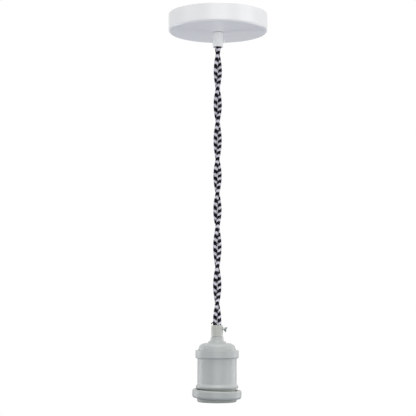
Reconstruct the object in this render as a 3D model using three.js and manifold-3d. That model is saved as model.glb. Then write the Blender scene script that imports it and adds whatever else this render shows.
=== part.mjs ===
// Pendant cord set: ceiling rose, twisted pair of braided cores and a lamp holder with a shade ring.
// Millimetres, +Z up. The origin is the centre of the ceiling plane, so the whole set hangs below it.
import * as THREE from 'three';
import { mergeVertices } from 'three/addons/utils/BufferGeometryUtils.js';
import Module from 'manifold-3d';

const wasm = await Module();
wasm.setup();

// Gaps between pieces that touch on the real set
const SEAT = 0.3;
const CLEAR = 0.3;

// Facets round a full turn
const ROUND_LARGE = 40;
const ROUND_MIDDLE = 24;
const ROUND_SMALL = 16;
const ROUND_TINY = 10;
const FILLET_STEPS = 2;

// Broken edges of turned and moulded pieces
const EDGE = 0.3;
const FILLET_SLACK = 0.01;
const SOFT_EDGE = 0.8;

// Ceiling rose
const CUP_RADIUS = 50;
const CUP_HEIGHT = 18;
const CUP_WALL = 1;
const CUP_CORNER = 2.2;

// Strap that carries the rose
const STRAP_LENGTH = 84;
const STRAP_WIDTH = 18;
const STRAP_SHEET = 1.8;
const STRAP_HAT = 37;
const STRAP_BEND = 2.4;
const STRAP_INNER_BEND = 0.6;
const SLOT_WIDTH = 4.4;
const SLOT_LENGTH = 14;
const SLOT_SPACING = 60;

// Cord grips: one in the rose, one on the lamp holder
const GRIP_BORE_RADIUS = 2.9;
const ROSE_GRIP_RADIUS = 5.1;
const ROSE_GRIP_LENGTH = 14.9;
const ROSE_STEM_RADIUS = 3.9;
const ROSE_STEM_LENGTH = 10.8;
const ROSE_MOUTH_DEPTH = 9;
const HOLDER_GRIP_RADIUS = 5.8;
const HOLDER_GRIP_LENGTH = 11.3;
const HOLDER_STEM_RADIUS = 4.85;
const HOLDER_STEM_LENGTH = 9.3;
const HOLDER_MOUTH_DEPTH = 8;

// Nut and toothed washer on the rose grip's stem
const NUT_FLATS = 13;
const NUT_HEIGHT = 4;
const WASHER_RADIUS = 7.3;
const WASHER_SHEET = 0.8;
const WASHER_TEETH = 12;
const WASHER_TOOTH = 0.9;

// Side screws of the two grips
const GRIP_SCREW_RADIUS = 1.2;
const ROSE_SCREW_DROP = 9;
const ROSE_SCREW_HEAD_RADIUS = 1.7;
const ROSE_SCREW_HEAD = 1.1;
const HOLDER_SCREW_DROP = 3.3;
const HOLDER_SCREW_REACH = 3.8;
const HOLDER_SCREW_HEAD_RADIUS = 2.8;
const HOLDER_SCREW_HEAD = 2.2;
const HOLDER_SCREW_RIM = 0.4;
const HOLDER_SCREW_TILT = 17;
const SCREW_SLOT_WIDTH = 0.6;
const SCREW_SLOT_DEPTH = 0.5;

// Earth screw on the strap
const EARTH_SCREW_RADIUS = 1.7;
const EARTH_HEAD_RADIUS = 3.2;
const EARTH_HEAD = 2;
const EARTH_SCREW_PLACE = 12.2;

// Terminal block that lies in the cup beside the strap
const BLOCK_WIDTH = 17;
const BLOCK_LENGTH = 17;
const BLOCK_HEIGHT = 12.5;
const BLOCK_FROM_AXIS = 14;
const BLOCK_NOTCH_WIDTH = 1.6;
const BLOCK_NOTCH_DEPTH = 6;
const BLOCK_ROUND = 1.2;
const POLE_SPACING = 8.5;
const SLEEVE_RADIUS = 2.2;
const SLEEVE_BORE_RADIUS = 1.45;
const SLEEVE_LENGTH = 15;
const SLEEVE_RISE = 5.2;
const POLE_SCREW_RADIUS = 1.2;
const POLE_HEAD_RADIUS = 1.6;
const POLE_HEAD = 2;
const POLE_SCREW_INSET = 4.2;

// Leads inside the rose and the holder, and the braided cores between the grips
const LEAD_RADIUS = 1.1;
const LEAD_OFFSET = 1.3;
const LEAD_SIDES = 8;
const LEAD_STEPS = 16;
const CORE_RADIUS = 2;
const CORE_SIDES = 8;
const CORE_STEPS = 56;
const VISIBLE_CORD = 279.2;
// Right-handed lay: going down, the core in front runs from right to left
const TWIST_HAND = -1;
// Heights where one core lies right behind the other
const CROSSINGS = [-5, -40, -75, -109, -147, -181, -215, -255, -291, -327];

// Lamp holder, each height measured down from the piece above
const NECK_WALL = 0.95;
const NECK_FLARE = 0.8;
const NECK_HEIGHT = 4.2;
const STEP_REACH = 2.1;
const STEP_HEIGHT = 1.9;
const STEP_ROUND = 1.4;
const DOME_CROWN_INSET = 3.9;
const DOME_CROWN_DROP = 0.1;
const DOME_CROWN_ROUND = 3.5;
const DOME_SHOULDER_INSET = 0.6;
const DOME_SHOULDER_DROP = 2.4;
const DOME_SHOULDER_ROUND = 2.5;
const DOME_INSET = 0.7;
const DOME_HEIGHT = 5.5;
const DOME_FOOT_INSET = 2.6;
const DOME_FOOT_HEIGHT = 1.6;
const CAP_WALL = 1.2;
const BAND_WALL = 1.7;
const BAND_HEIGHT = 7.7;
const BAND_LOWER_ROUND = 1.2;
const BAND_TOP_WALL = 1.2;
const SHELL_RADIUS = 19.4;
const SHELL_WALL = 1;
const SHELL_VISIBLE = 29.5;
const LIP_REACH = 1.9;
const LIP_HEIGHT = 4.3;
const LIP_EDGE_RISE = 1.8;
const LIP_EDGE_ROUND = 0.7;
const LIP_ROOT_ROUND = 1.5;
const LIP_FACE_REACH = 1.2;

// Insert of the holder
const BASE_HEIGHT = 9;
const BASE_TOP_DROP = 4.3;
const SKIRT_REACH = 0.2;
const SKIRT_SEAT = 2.6;
const SKIRT_HEIGHT = 10.7;
const SKIRT_MOUTH_WALL = 3;
const SKIRT_MOUTH_DEPTH = 7.7;
const SKIRT_ROUND = 1.8;
const THREAD_MINOR_RADIUS = 12.35;
const THREAD_MAJOR_RADIUS = 13.55;
const THREAD_PITCH = 3.629;
const THREAD_TURNS = 7;
const SCREW_SHELL_SHEET = 0.5;
const SCREW_SHELL_EYE_RADIUS = 9.4;
const BASE_SCREW_RADIUS = 0.9;
const BASE_SCREW_HEAD_RADIUS = 1.7;
const BASE_SCREW_HEAD = 1.2;
const BASE_SCREW_LENGTH = 16;

// Contacts of the holder
const CONTACT_SHEET = 0.5;
const CONTACT_WIDTH = 5;
const LIVE_LEG_PLACE = 7;
const NEUTRAL_LEG_PLACE = 12;
const TONGUE_DROP = 4.6;
const TONGUE_REACH = 1.6;
const CLAMP_INNER = 7.2;
const CLAMP_LENGTH = 6.4;
const CLAMP_WIDTH = 6;
const CLAMP_HEIGHT = 5;
const CLAMP_HOLE_RISE = 2.1;
const CLAMP_HEAD_RADIUS = 2;
const CLAMP_HEAD = 1.4;

// Shade ring, a little askew on its thread
const RING_WALL = 4.2;
const RING_HEIGHT = 8.25;
const RING_ROUND = 1.4;
const RING_FOOT_ROUND = 2.4;
const RING_PLAY = 0.55;
const RING_DROP = 1.3;
const RING_ROLL = 2;
const RING_NOD = 1.4;

// Heights worked out from the sizes above
const CUP_FLOOR = -CUP_HEIGHT + CUP_WALL;
const STRAP_BOTTOM = CUP_FLOOR + SEAT;
const STRAP_TOP = STRAP_BOTTOM + STRAP_SHEET;
const WASHER_BOTTOM = STRAP_TOP + SEAT;
const NUT_BOTTOM = WASHER_BOTTOM + WASHER_SHEET + SEAT;
const ROSE_GRIP_TOP = -CUP_HEIGHT - SEAT;
const ROSE_GRIP_END = ROSE_GRIP_TOP - ROSE_GRIP_LENGTH;
const ROSE_MOUTH_FLOOR = ROSE_GRIP_END + ROSE_MOUTH_DEPTH;
const ROSE_STEM_TOP = ROSE_GRIP_TOP + ROSE_STEM_LENGTH;
const HOLDER_GRIP_TOP = ROSE_GRIP_END - VISIBLE_CORD;
const HOLDER_MOUTH_FLOOR = HOLDER_GRIP_TOP - HOLDER_MOUTH_DEPTH;
const HOLDER_GRIP_SHOULDER = HOLDER_GRIP_TOP - HOLDER_GRIP_LENGTH;
const HOLDER_STEM_END = HOLDER_GRIP_SHOULDER - HOLDER_STEM_LENGTH;
const CAP_TOP = HOLDER_GRIP_SHOULDER - SEAT;
const STEP_TOP = CAP_TOP - NECK_HEIGHT;
const DOME_TOP = STEP_TOP - STEP_HEIGHT;
const DOME_FOOT_TOP = DOME_TOP - DOME_HEIGHT;
const BAND_TOP = DOME_FOOT_TOP - DOME_FOOT_HEIGHT;
const BAND_SHOULDER = BAND_TOP - BAND_TOP_WALL;
const BAND_BOTTOM = BAND_TOP - BAND_HEIGHT;
const LIP_BOTTOM = BAND_BOTTOM - SHELL_VISIBLE;
const BASE_TOP = BAND_SHOULDER - BASE_TOP_DROP;
const BASE_BOTTOM = BASE_TOP - BASE_HEIGHT;
const SKIRT_SHOULDER = LIP_BOTTOM - SKIRT_SEAT;
const SKIRT_BOTTOM = SKIRT_SHOULDER - SKIRT_HEIGHT;
const SKIRT_TOP = BASE_BOTTOM - SEAT;

const NECK_TOP_RADIUS = HOLDER_STEM_RADIUS + CLEAR + NECK_WALL;
const NECK_FOOT_RADIUS = NECK_TOP_RADIUS + NECK_FLARE;
const STEP_RADIUS = NECK_FOOT_RADIUS + STEP_REACH;
const BAND_RADIUS = SHELL_RADIUS + CLEAR + BAND_WALL;
const DOME_FOOT_RADIUS = BAND_RADIUS - DOME_FOOT_INSET;
const DOME_RADIUS = DOME_FOOT_RADIUS - DOME_INSET;
const DOME_SHOULDER_RADIUS = DOME_RADIUS - DOME_SHOULDER_INSET;
const DOME_CROWN_RADIUS = DOME_SHOULDER_RADIUS - DOME_CROWN_INSET;
const LIP_RADIUS = SHELL_RADIUS + LIP_REACH;
const LIP_FACE_RADIUS = SHELL_RADIUS + LIP_FACE_REACH;
const SKIRT_RADIUS = SHELL_RADIUS + SKIRT_REACH;
const SKIRT_MOUTH_RADIUS = SKIRT_RADIUS - SKIRT_MOUTH_WALL;
const RING_RADIUS = SKIRT_RADIUS + RING_PLAY + RING_WALL;
const SHELL_BORE_RADIUS = SHELL_RADIUS - SHELL_WALL;
const SKIRT_NECK_RADIUS = SHELL_BORE_RADIUS - CLEAR;
const SKIRT_BORE_RADIUS = THREAD_MAJOR_RADIUS + SCREW_SHELL_SHEET + CLEAR;
const PAIR_RADIUS = CORE_RADIUS + SEAT / 2;
const MOUTH_RADIUS = PAIR_RADIUS + CORE_RADIUS + CLEAR;
const SLEEVE_HEIGHT = STRAP_BOTTOM + SLEEVE_RISE;
const SLEEVE_MIDDLE = BLOCK_FROM_AXIS + BLOCK_LENGTH / 2;

const white = { color: 0xf0f0ef, roughness: 0.35, metalness: 0 };
const nylon = { color: 0xf7f8f6, roughness: 0.45, metalness: 0 };
const clearNylon = { color: 0xc3c5bf, roughness: 0.45, metalness: 0 };
const paleGrey = { color: 0xb1b5b3, roughness: 0.4, metalness: 0 };
const moulding = { color: 0x9ea29b, roughness: 0.4, metalness: 0 };
const steel = { color: 0xb4b8b8, roughness: 0.35, metalness: 1 };
const brass = { color: 0xc9a14e, roughness: 0.35, metalness: 1 };
const braid = { color: 0x9a98a2, roughness: 0.9, metalness: 0 };
const brown = { color: 0x5a3018, roughness: 0.5, metalness: 0 };
const blue = { color: 0x2360a8, roughness: 0.5, metalness: 0 };

const set = new THREE.Group();

// Joins doubled corners, drops collapsed triangles and turns the faces outwards
function closed(geometry) {
  const bare = geometry.clone();
  bare.deleteAttribute('normal');
  bare.deleteAttribute('uv');
  const merged = mergeVertices(bare, 1e-4);
  const place = merged.attributes.position;
  const corners = [0, 1, 2].map(() => new THREE.Vector3());
  const kept = [];
  let volume = 0;
  for (let i = 0; i < merged.index.count; i += 3) {
    const [a, b, c] = [0, 1, 2].map((k) => merged.index.getX(i + k));
    if (a === b || b === c || a === c) continue;
    [a, b, c].forEach((vertex, k) => corners[k].fromBufferAttribute(place, vertex));
    volume += corners[0].dot(corners[1].clone().cross(corners[2]));
    kept.push([a, b, c]);
  }
  const faces = volume < 0 ? kept.map(([a, b, c]) => [a, c, b]) : kept;
  merged.setIndex(faces.flat());
  return merged;
}

// A closed outline with each corner rounded by the radius that it carries
function rounded(corners) {
  const at = (i) => {
    const [x, y] = corners[(i + corners.length) % corners.length];
    return new THREE.Vector2(x, y);
  };
  return corners.flatMap(([, , radius = 0], i) => {
    const here = at(i);
    if (radius === 0) return [here];
    const back = at(i - 1).sub(here).normalize();
    const ahead = at(i + 1).sub(here).normalize();
    const half = Math.acos(back.dot(ahead)) / 2;
    const middle = back.clone().add(ahead).normalize();
    const centre = here.clone().addScaledVector(middle, radius / Math.sin(half));
    const from = here.clone().addScaledVector(back, radius / Math.tan(half)).sub(centre);
    const to = here.clone().addScaledVector(ahead, radius / Math.tan(half)).sub(centre);
    const sweep = Math.atan2(from.cross(to), from.dot(to));
    return Array.from({ length: FILLET_STEPS + 1 }, (_, k) =>
      from.clone().rotateAround(new THREE.Vector2(), (sweep * k) / FILLET_STEPS).add(centre));
  });
}

// A profile of radius and height turned about Z
function turned(corners, facets) {
  const outline = rounded(corners);
  const open = outline[0].x === 0 && outline[outline.length - 1].x === 0;
  if (!open) outline.push(outline[0].clone());
  return closed(new THREE.LatheGeometry(outline, facets).rotateX(Math.PI / 2));
}

function rod(radius, low, high, facets) {
  return turned([[0, low], [radius, low], [radius, high], [0, high]], facets);
}

function hollowRod(inner, outer, low, high, facets) {
  return turned([[inner, low], [outer, low], [outer, high], [inner, high]], facets);
}

function block(width, depth, height, x, y, z) {
  return closed(new THREE.BoxGeometry(width, depth, height).translate(x, y, z));
}

// An outline in X and Z drawn out along Y, centred on the plane y = 0
function drawnAlongY(corners, depth) {
  const shape = new THREE.Shape(rounded(corners));
  const body = new THREE.ExtrudeGeometry(shape, { depth, bevelEnabled: false, steps: 1 });
  return closed(body.rotateX(Math.PI / 2).translate(0, depth / 2, 0));
}

// An outline in X and Y drawn up along Z
function drawnAlongZ(corners, low, high) {
  const shape = new THREE.Shape(rounded(corners));
  const body = new THREE.ExtrudeGeometry(shape, { depth: high - low, bevelEnabled: false, steps: 1 });
  return closed(body.translate(0, 0, low));
}

function tube(points, radius, sides, steps) {
  const section = new THREE.Shape(Array.from({ length: sides }, (_, k) => {
    const turn = (2 * Math.PI * k) / sides;
    return new THREE.Vector2(radius * Math.cos(turn), radius * Math.sin(turn));
  }));
  const path = new THREE.CatmullRomCurve3(points.map((p) => new THREE.Vector3(...p)));
  return closed(new THREE.ExtrudeGeometry(section, { steps, bevelEnabled: false, extrudePath: path }));
}

function toManifold(geometry) {
  return new wasm.Manifold(new wasm.Mesh({
    numProp: 3,
    vertProperties: Float32Array.from(geometry.attributes.position.array),
    triVerts: Uint32Array.from(geometry.index.array),
  }));
}

function fromManifold(body) {
  const { vertProperties, triVerts } = body.getMesh();
  const geometry = new THREE.BufferGeometry();
  geometry.setAttribute('position', new THREE.BufferAttribute(vertProperties, 3));
  geometry.setIndex(new THREE.BufferAttribute(triVerts, 1));
  return geometry;
}

function cut(body, ...tools) {
  return fromManifold(tools.reduce((left, tool) => left.subtract(toManifold(tool)), toManifold(body)));
}

function add(name, geometry, finish) {
  const mesh = new THREE.Mesh(geometry, new THREE.MeshStandardMaterial(finish));
  mesh.name = name;
  set.add(mesh);
  return mesh;
}

// Pressed steel cup, open to the ceiling, with a hole for the grip's stem
function roseCup() {
  const hole = ROSE_STEM_RADIUS + CLEAR;
  return turned([
    [hole, -CUP_HEIGHT],
    [CUP_RADIUS, -CUP_HEIGHT, CUP_CORNER],
    [CUP_RADIUS, 0],
    [CUP_RADIUS - CUP_WALL, 0],
    [CUP_RADIUS - CUP_WALL, CUP_FLOOR, CUP_CORNER - CUP_WALL],
    [hole, CUP_FLOOR],
  ], ROUND_LARGE);
}

// A slot with round ends, right through the strap's foot
function fixingSlot(side) {
  const middle = (side * SLOT_SPACING) / 2;
  const half = SLOT_LENGTH / 2;
  const wide = SLOT_WIDTH / 2;
  const end = wide - FILLET_SLACK;
  return drawnAlongZ([
    [middle - half, -wide, end],
    [middle + half, -wide, end],
    [middle + half, wide, end],
    [middle - half, wide, end],
  ], -2 * STRAP_SHEET, STRAP_SHEET);
}

// Strap bent from one strip: two feet against the ceiling and a dropped middle that carries the cup
function mountingStrap() {
  const end = STRAP_LENGTH / 2;
  const outer = STRAP_HAT / 2;
  const inner = outer - STRAP_SHEET;
  const strip = drawnAlongY([
    [-end, 0],
    [-inner, 0, STRAP_BEND],
    [-inner, STRAP_TOP, STRAP_INNER_BEND],
    [inner, STRAP_TOP, STRAP_INNER_BEND],
    [inner, 0, STRAP_BEND],
    [end, 0],
    [end, -STRAP_SHEET],
    [outer, -STRAP_SHEET, STRAP_INNER_BEND],
    [outer, STRAP_BOTTOM, STRAP_BEND],
    [-outer, STRAP_BOTTOM, STRAP_BEND],
    [-outer, -STRAP_SHEET, STRAP_INNER_BEND],
    [-end, -STRAP_SHEET],
  ], STRAP_WIDTH);
  const below = STRAP_BOTTOM - STRAP_SHEET;
  const above = STRAP_TOP + STRAP_SHEET;
  const stemHole = rod(ROSE_STEM_RADIUS + CLEAR, below, above, ROUND_SMALL);
  const earthHole = rod(EARTH_SCREW_RADIUS + CLEAR, below, above, ROUND_TINY);
  earthHole.translate(EARTH_SCREW_PLACE, 0, 0);
  return cut(strip, stemHole, earthHole, fixingSlot(-1), fixingSlot(1));
}

// Toothed washer under the nut
function roseWasher() {
  const teeth = Array.from({ length: 2 * WASHER_TEETH }, (_, k) => {
    const radius = k % 2 === 0 ? WASHER_RADIUS : WASHER_RADIUS - WASHER_TOOTH;
    const turn = (Math.PI * k) / WASHER_TEETH;
    return [radius * Math.cos(turn), radius * Math.sin(turn)];
  });
  const top = WASHER_BOTTOM + WASHER_SHEET;
  const disc = drawnAlongZ(teeth, WASHER_BOTTOM, top);
  return cut(disc, rod(ROSE_STEM_RADIUS + CLEAR, WASHER_BOTTOM - SEAT, top + SEAT, ROUND_SMALL));
}

// Hexagon nut with its corners turned off
function roseNut() {
  const corner = NUT_FLATS / Math.sqrt(3);
  const chamfer = corner - NUT_FLATS / 2;
  const top = NUT_BOTTOM + NUT_HEIGHT;
  const hexagon = Array.from({ length: 6 }, (_, k) => {
    const turn = (Math.PI * k) / 3;
    return [corner * Math.cos(turn), corner * Math.sin(turn)];
  });
  const cone = turned([
    [0, NUT_BOTTOM],
    [corner + CLEAR, NUT_BOTTOM],
    [corner + CLEAR, top - chamfer],
    [corner - chamfer, top],
    [0, top],
  ], ROUND_MIDDLE);
  const prism = toManifold(drawnAlongZ(hexagon, NUT_BOTTOM, top));
  const body = fromManifold(prism.intersect(toManifold(cone)));
  return cut(body, rod(ROSE_STEM_RADIUS + CLEAR, NUT_BOTTOM - SEAT, top + SEAT, ROUND_SMALL));
}

// A slotted screw that stands on Z, its head's top at height 0
function slottedScrew(radius, length, headRadius, head, crown) {
  const body = turned([
    [0, -length - head],
    [radius, -length - head],
    [radius, -head],
    [headRadius, -head],
    [headRadius, 0, crown],
    [0, 0],
  ], ROUND_TINY);
  const wide = 4 * headRadius;
  return cut(body, block(wide, SCREW_SLOT_WIDTH, 2 * SCREW_SLOT_DEPTH, 0, 0, 0));
}

// Moulded grip: a threaded stem, a round body and a mouth that takes the braided pair
function roseGrip() {
  const body = turned([
    [GRIP_BORE_RADIUS, ROSE_STEM_TOP],
    [ROSE_STEM_RADIUS, ROSE_STEM_TOP],
    [ROSE_STEM_RADIUS, ROSE_GRIP_TOP],
    [ROSE_GRIP_RADIUS, ROSE_GRIP_TOP, SOFT_EDGE],
    [ROSE_GRIP_RADIUS, ROSE_GRIP_END, EDGE],
    [MOUTH_RADIUS, ROSE_GRIP_END],
    [MOUTH_RADIUS, ROSE_MOUTH_FLOOR],
    [GRIP_BORE_RADIUS, ROSE_MOUTH_FLOOR],
  ], ROUND_MIDDLE);
  const hole = rod(GRIP_SCREW_RADIUS + CLEAR, GRIP_BORE_RADIUS, 2 * ROSE_GRIP_RADIUS, ROUND_TINY);
  hole.rotateY(Math.PI / 2).translate(0, 0, ROSE_GRIP_TOP - ROSE_SCREW_DROP);
  return cut(body, hole);
}

function roseGripScrew() {
  const seat = ROSE_GRIP_RADIUS + SEAT;
  const length = seat - MOUTH_RADIUS;
  const screw = slottedScrew(GRIP_SCREW_RADIUS, length, ROSE_SCREW_HEAD_RADIUS, ROSE_SCREW_HEAD, EDGE);
  return screw.rotateY(Math.PI / 2).translate(seat + ROSE_SCREW_HEAD, 0, ROSE_GRIP_TOP - ROSE_SCREW_DROP);
}

// The holder's grip stands on the neck of the cap, mouth up
function holderGrip() {
  const body = turned([
    [GRIP_BORE_RADIUS, HOLDER_STEM_END],
    [HOLDER_STEM_RADIUS, HOLDER_STEM_END],
    [HOLDER_STEM_RADIUS, HOLDER_GRIP_SHOULDER],
    [HOLDER_GRIP_RADIUS, HOLDER_GRIP_SHOULDER],
    [HOLDER_GRIP_RADIUS, HOLDER_GRIP_TOP, SOFT_EDGE],
    [MOUTH_RADIUS, HOLDER_GRIP_TOP],
    [MOUTH_RADIUS, HOLDER_MOUTH_FLOOR],
    [GRIP_BORE_RADIUS, HOLDER_MOUTH_FLOOR],
  ], ROUND_MIDDLE);
  const hole = rod(GRIP_SCREW_RADIUS + CLEAR, -HOLDER_GRIP_RADIUS / 2, HOLDER_GRIP_RADIUS, ROUND_TINY);
  return cut(body, ontoHolderScrewAxis(hole));
}

// Lays a piece that stands on Z along the tilted axis of the holder grip's screw
function ontoHolderScrewAxis(piece) {
  const tilt = THREE.MathUtils.degToRad(90 + HOLDER_SCREW_TILT);
  return piece.rotateY(tilt).translate(HOLDER_GRIP_RADIUS, 0, HOLDER_GRIP_TOP - HOLDER_SCREW_DROP);
}

// Screw with a wide conical head, done up at a slant
function holderGripScrew() {
  const tip = MOUTH_RADIUS - HOLDER_GRIP_RADIUS + CLEAR;
  const coneStart = HOLDER_SCREW_REACH - HOLDER_SCREW_HEAD;
  const body = turned([
    [0, tip],
    [GRIP_SCREW_RADIUS, tip],
    [GRIP_SCREW_RADIUS, coneStart],
    [HOLDER_SCREW_HEAD_RADIUS, HOLDER_SCREW_REACH - HOLDER_SCREW_RIM],
    [HOLDER_SCREW_HEAD_RADIUS, HOLDER_SCREW_REACH],
    [0, HOLDER_SCREW_REACH],
  ], ROUND_SMALL);
  const across = 4 * HOLDER_SCREW_HEAD_RADIUS;
  const slot = block(SCREW_SLOT_WIDTH, across, 2 * SCREW_SLOT_DEPTH, 0, 0, HOLDER_SCREW_REACH);
  return ontoHolderScrewAxis(cut(body, slot));
}

function earthScrew() {
  const length = STRAP_SHEET + SEAT;
  const screw = slottedScrew(EARTH_SCREW_RADIUS, length, EARTH_HEAD_RADIUS, EARTH_HEAD, SOFT_EDGE);
  return screw.translate(EARTH_SCREW_PLACE, 0, STRAP_TOP + SEAT + EARTH_HEAD);
}

// Moulded two-pole terminal block: wires go in along Y, the screws are reached from the top
function terminalHousing() {
  const half = BLOCK_WIDTH / 2;
  const notch = BLOCK_NOTCH_WIDTH / 2;
  const low = STRAP_BOTTOM;
  const high = STRAP_BOTTOM + BLOCK_HEIGHT;
  const body = drawnAlongY([
    [-half, low],
    [half, low],
    [half, high, BLOCK_ROUND],
    [notch, high, BLOCK_ROUND],
    [notch, high - BLOCK_NOTCH_DEPTH],
    [-notch, high - BLOCK_NOTCH_DEPTH],
    [-notch, high, BLOCK_ROUND],
    [-half, high, BLOCK_ROUND],
  ], BLOCK_LENGTH).translate(0, SLEEVE_MIDDLE, 0);
  const tools = [];
  for (const side of [-1, 1]) {
    const way = rod(SLEEVE_RADIUS + CLEAR, -BLOCK_LENGTH, BLOCK_LENGTH, ROUND_SMALL);
    tools.push(way.rotateX(Math.PI / 2).translate((side * POLE_SPACING) / 2, SLEEVE_MIDDLE, SLEEVE_HEIGHT));
    for (const end of [-1, 1]) {
      const shaft = rod(POLE_HEAD_RADIUS + CLEAR, SLEEVE_HEIGHT, high + SEAT, ROUND_TINY);
      tools.push(shaft.translate((side * POLE_SPACING) / 2, poleScrewPlace(end), 0));
    }
  }
  return cut(body, ...tools);
}

function poleScrewPlace(end) {
  return SLEEVE_MIDDLE + end * (BLOCK_LENGTH / 2 - POLE_SCREW_INSET);
}

// Brass sleeve of one pole, tapped for a screw at each end
function terminalSleeve(side) {
  const half = SLEEVE_LENGTH / 2;
  const body = hollowRod(SLEEVE_BORE_RADIUS, SLEEVE_RADIUS, -half, half, ROUND_SMALL);
  body.rotateX(Math.PI / 2).translate(0, SLEEVE_MIDDLE, SLEEVE_HEIGHT);
  const holes = [-1, 1].map((end) =>
    rod(POLE_SCREW_RADIUS + CLEAR, SLEEVE_HEIGHT, SLEEVE_HEIGHT + 2 * SLEEVE_RADIUS, ROUND_TINY)
      .translate(0, poleScrewPlace(end), 0));
  return cut(body, ...holes).translate((side * POLE_SPACING) / 2, 0, 0);
}

// Its tip stops just above the lead that it holds
function poleScrew(side, end) {
  const tip = SLEEVE_HEIGHT + LEAD_RADIUS + SEAT;
  const headSeat = SLEEVE_HEIGHT + SLEEVE_RADIUS + SEAT;
  const screw = slottedScrew(POLE_SCREW_RADIUS, headSeat - tip, POLE_HEAD_RADIUS, POLE_HEAD, EDGE);
  return screw.translate((side * POLE_SPACING) / 2, poleScrewPlace(end), headSeat + POLE_HEAD);
}

// Turn of the pair at a height: half a turn from each crossing to the next
function twistAt(height) {
  const last = CROSSINGS.length - 2;
  const passed = CROSSINGS.filter((mark) => mark >= height).length - 1;
  const step = Math.max(0, Math.min(last, passed));
  const share = (CROSSINGS[step] - height) / (CROSSINGS[step] - CROSSINGS[step + 1]);
  return Math.PI / 2 + TWIST_HAND * Math.PI * (step + share);
}

function onPair(height, radius, side) {
  const turn = twistAt(height);
  return [side * radius * Math.cos(turn), side * radius * Math.sin(turn), height];
}

const CORE_TOP = ROSE_MOUTH_FLOOR - SEAT;
const CORE_END = HOLDER_MOUTH_FLOOR + SEAT;

// One braided core of the twisted pair, from mouth floor to mouth floor
function core(side) {
  const points = Array.from({ length: CORE_STEPS + 1 }, (_, k) =>
    onPair(CORE_TOP + ((CORE_END - CORE_TOP) * k) / CORE_STEPS, PAIR_RADIUS, side));
  return tube(points, CORE_RADIUS, CORE_SIDES, CORE_STEPS);
}

// The core whose end lies towards +X is the brown lead's
function sideTowardsX(height) {
  return Math.sign(onPair(height, 1, 1)[0]);
}

// Lead in the rose: up through the stem, over the nut and down into its pole
function roseLead(side) {
  const [x, y] = onPair(CORE_TOP, LEAD_OFFSET, side * sideTowardsX(CORE_TOP));
  const pole = (side * POLE_SPACING) / 2;
  const start = ROSE_MOUTH_FLOOR;
  return tube([
    [x, y, start],
    [x, y, -16],
    [x, y, -8],
    [side * 1.7, y * 0.4 + 1.3, -5.2],
    [side * 2.9, 3.6, -3.3],
    [side * 3.9, 7, -4.2],
    [pole, 9.8, -7.2],
    [pole, BLOCK_FROM_AXIS - 2, -10.1],
    [pole, BLOCK_FROM_AXIS + 0.8, SLEEVE_HEIGHT],
    [pole, BLOCK_FROM_AXIS + 4, SLEEVE_HEIGHT],
    [pole, SLEEVE_MIDDLE - 1, SLEEVE_HEIGHT],
  ], LEAD_RADIUS, LEAD_SIDES, LEAD_STEPS);
}

// Painted metal cap of the holder: neck, step, dome and the band that screws on to the shell
function holderCap() {
  const neckBore = HOLDER_STEM_RADIUS + CLEAR;
  const bandBore = SHELL_RADIUS + CLEAR;
  const crown = DOME_TOP - DOME_CROWN_DROP;
  const shoulder = DOME_TOP - DOME_SHOULDER_DROP;
  return turned([
    [neckBore, CAP_TOP],
    [NECK_TOP_RADIUS, CAP_TOP, EDGE],
    [NECK_FOOT_RADIUS, STEP_TOP],
    [STEP_RADIUS, STEP_TOP, STEP_ROUND],
    [STEP_RADIUS, DOME_TOP],
    [DOME_CROWN_RADIUS, crown, DOME_CROWN_ROUND],
    [DOME_SHOULDER_RADIUS, shoulder, DOME_SHOULDER_ROUND],
    [DOME_RADIUS, DOME_FOOT_TOP],
    [DOME_FOOT_RADIUS, DOME_FOOT_TOP],
    [DOME_FOOT_RADIUS, BAND_TOP],
    [BAND_RADIUS, BAND_TOP, EDGE],
    [BAND_RADIUS, BAND_BOTTOM, BAND_LOWER_ROUND],
    [bandBore, BAND_BOTTOM],
    [bandBore, BAND_SHOULDER],
    [DOME_FOOT_RADIUS - CAP_WALL, BAND_SHOULDER],
    [DOME_RADIUS - CAP_WALL, DOME_FOOT_TOP],
    [DOME_SHOULDER_RADIUS - CAP_WALL, shoulder - EDGE],
    [DOME_CROWN_RADIUS - EDGE, crown - CAP_WALL],
    [neckBore, crown - CAP_WALL],
  ], ROUND_LARGE);
}

// Painted metal shell with its lip turned outwards
function holderShell() {
  const lipTop = LIP_BOTTOM + LIP_HEIGHT;
  return turned([
    [SHELL_RADIUS, BAND_SHOULDER - SEAT],
    [SHELL_RADIUS, lipTop, LIP_ROOT_ROUND],
    [LIP_RADIUS, LIP_BOTTOM + LIP_EDGE_RISE, LIP_EDGE_ROUND],
    [LIP_FACE_RADIUS, LIP_BOTTOM, EDGE],
    [SHELL_BORE_RADIUS, LIP_BOTTOM],
    [SHELL_BORE_RADIUS, BAND_SHOULDER - SEAT],
  ], ROUND_LARGE);
}

const BASE_SCREW_PLACE = (SKIRT_BORE_RADIUS + SKIRT_NECK_RADIUS) / 2;

function stripSlot(place) {
  const wide = CONTACT_WIDTH + 2 * CLEAR;
  const deep = CONTACT_SHEET + 2 * CLEAR;
  return block(deep, wide, 2 * BASE_HEIGHT, place, 0, BASE_TOP - BASE_HEIGHT / 2);
}

// Moulded disc that carries the contacts, held to the skirt by two long screws
function contactBase() {
  const disc = rod(SKIRT_NECK_RADIUS, BASE_BOTTOM, BASE_TOP, ROUND_LARGE);
  const holes = [-1, 1].map((side) =>
    rod(BASE_SCREW_RADIUS + CLEAR, BASE_BOTTOM - SEAT, BASE_TOP + SEAT, ROUND_TINY)
      .translate(0, side * BASE_SCREW_PLACE, 0));
  return cut(disc, stripSlot(LIVE_LEG_PLACE), stripSlot(-NEUTRAL_LEG_PLACE), ...holes);
}

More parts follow.
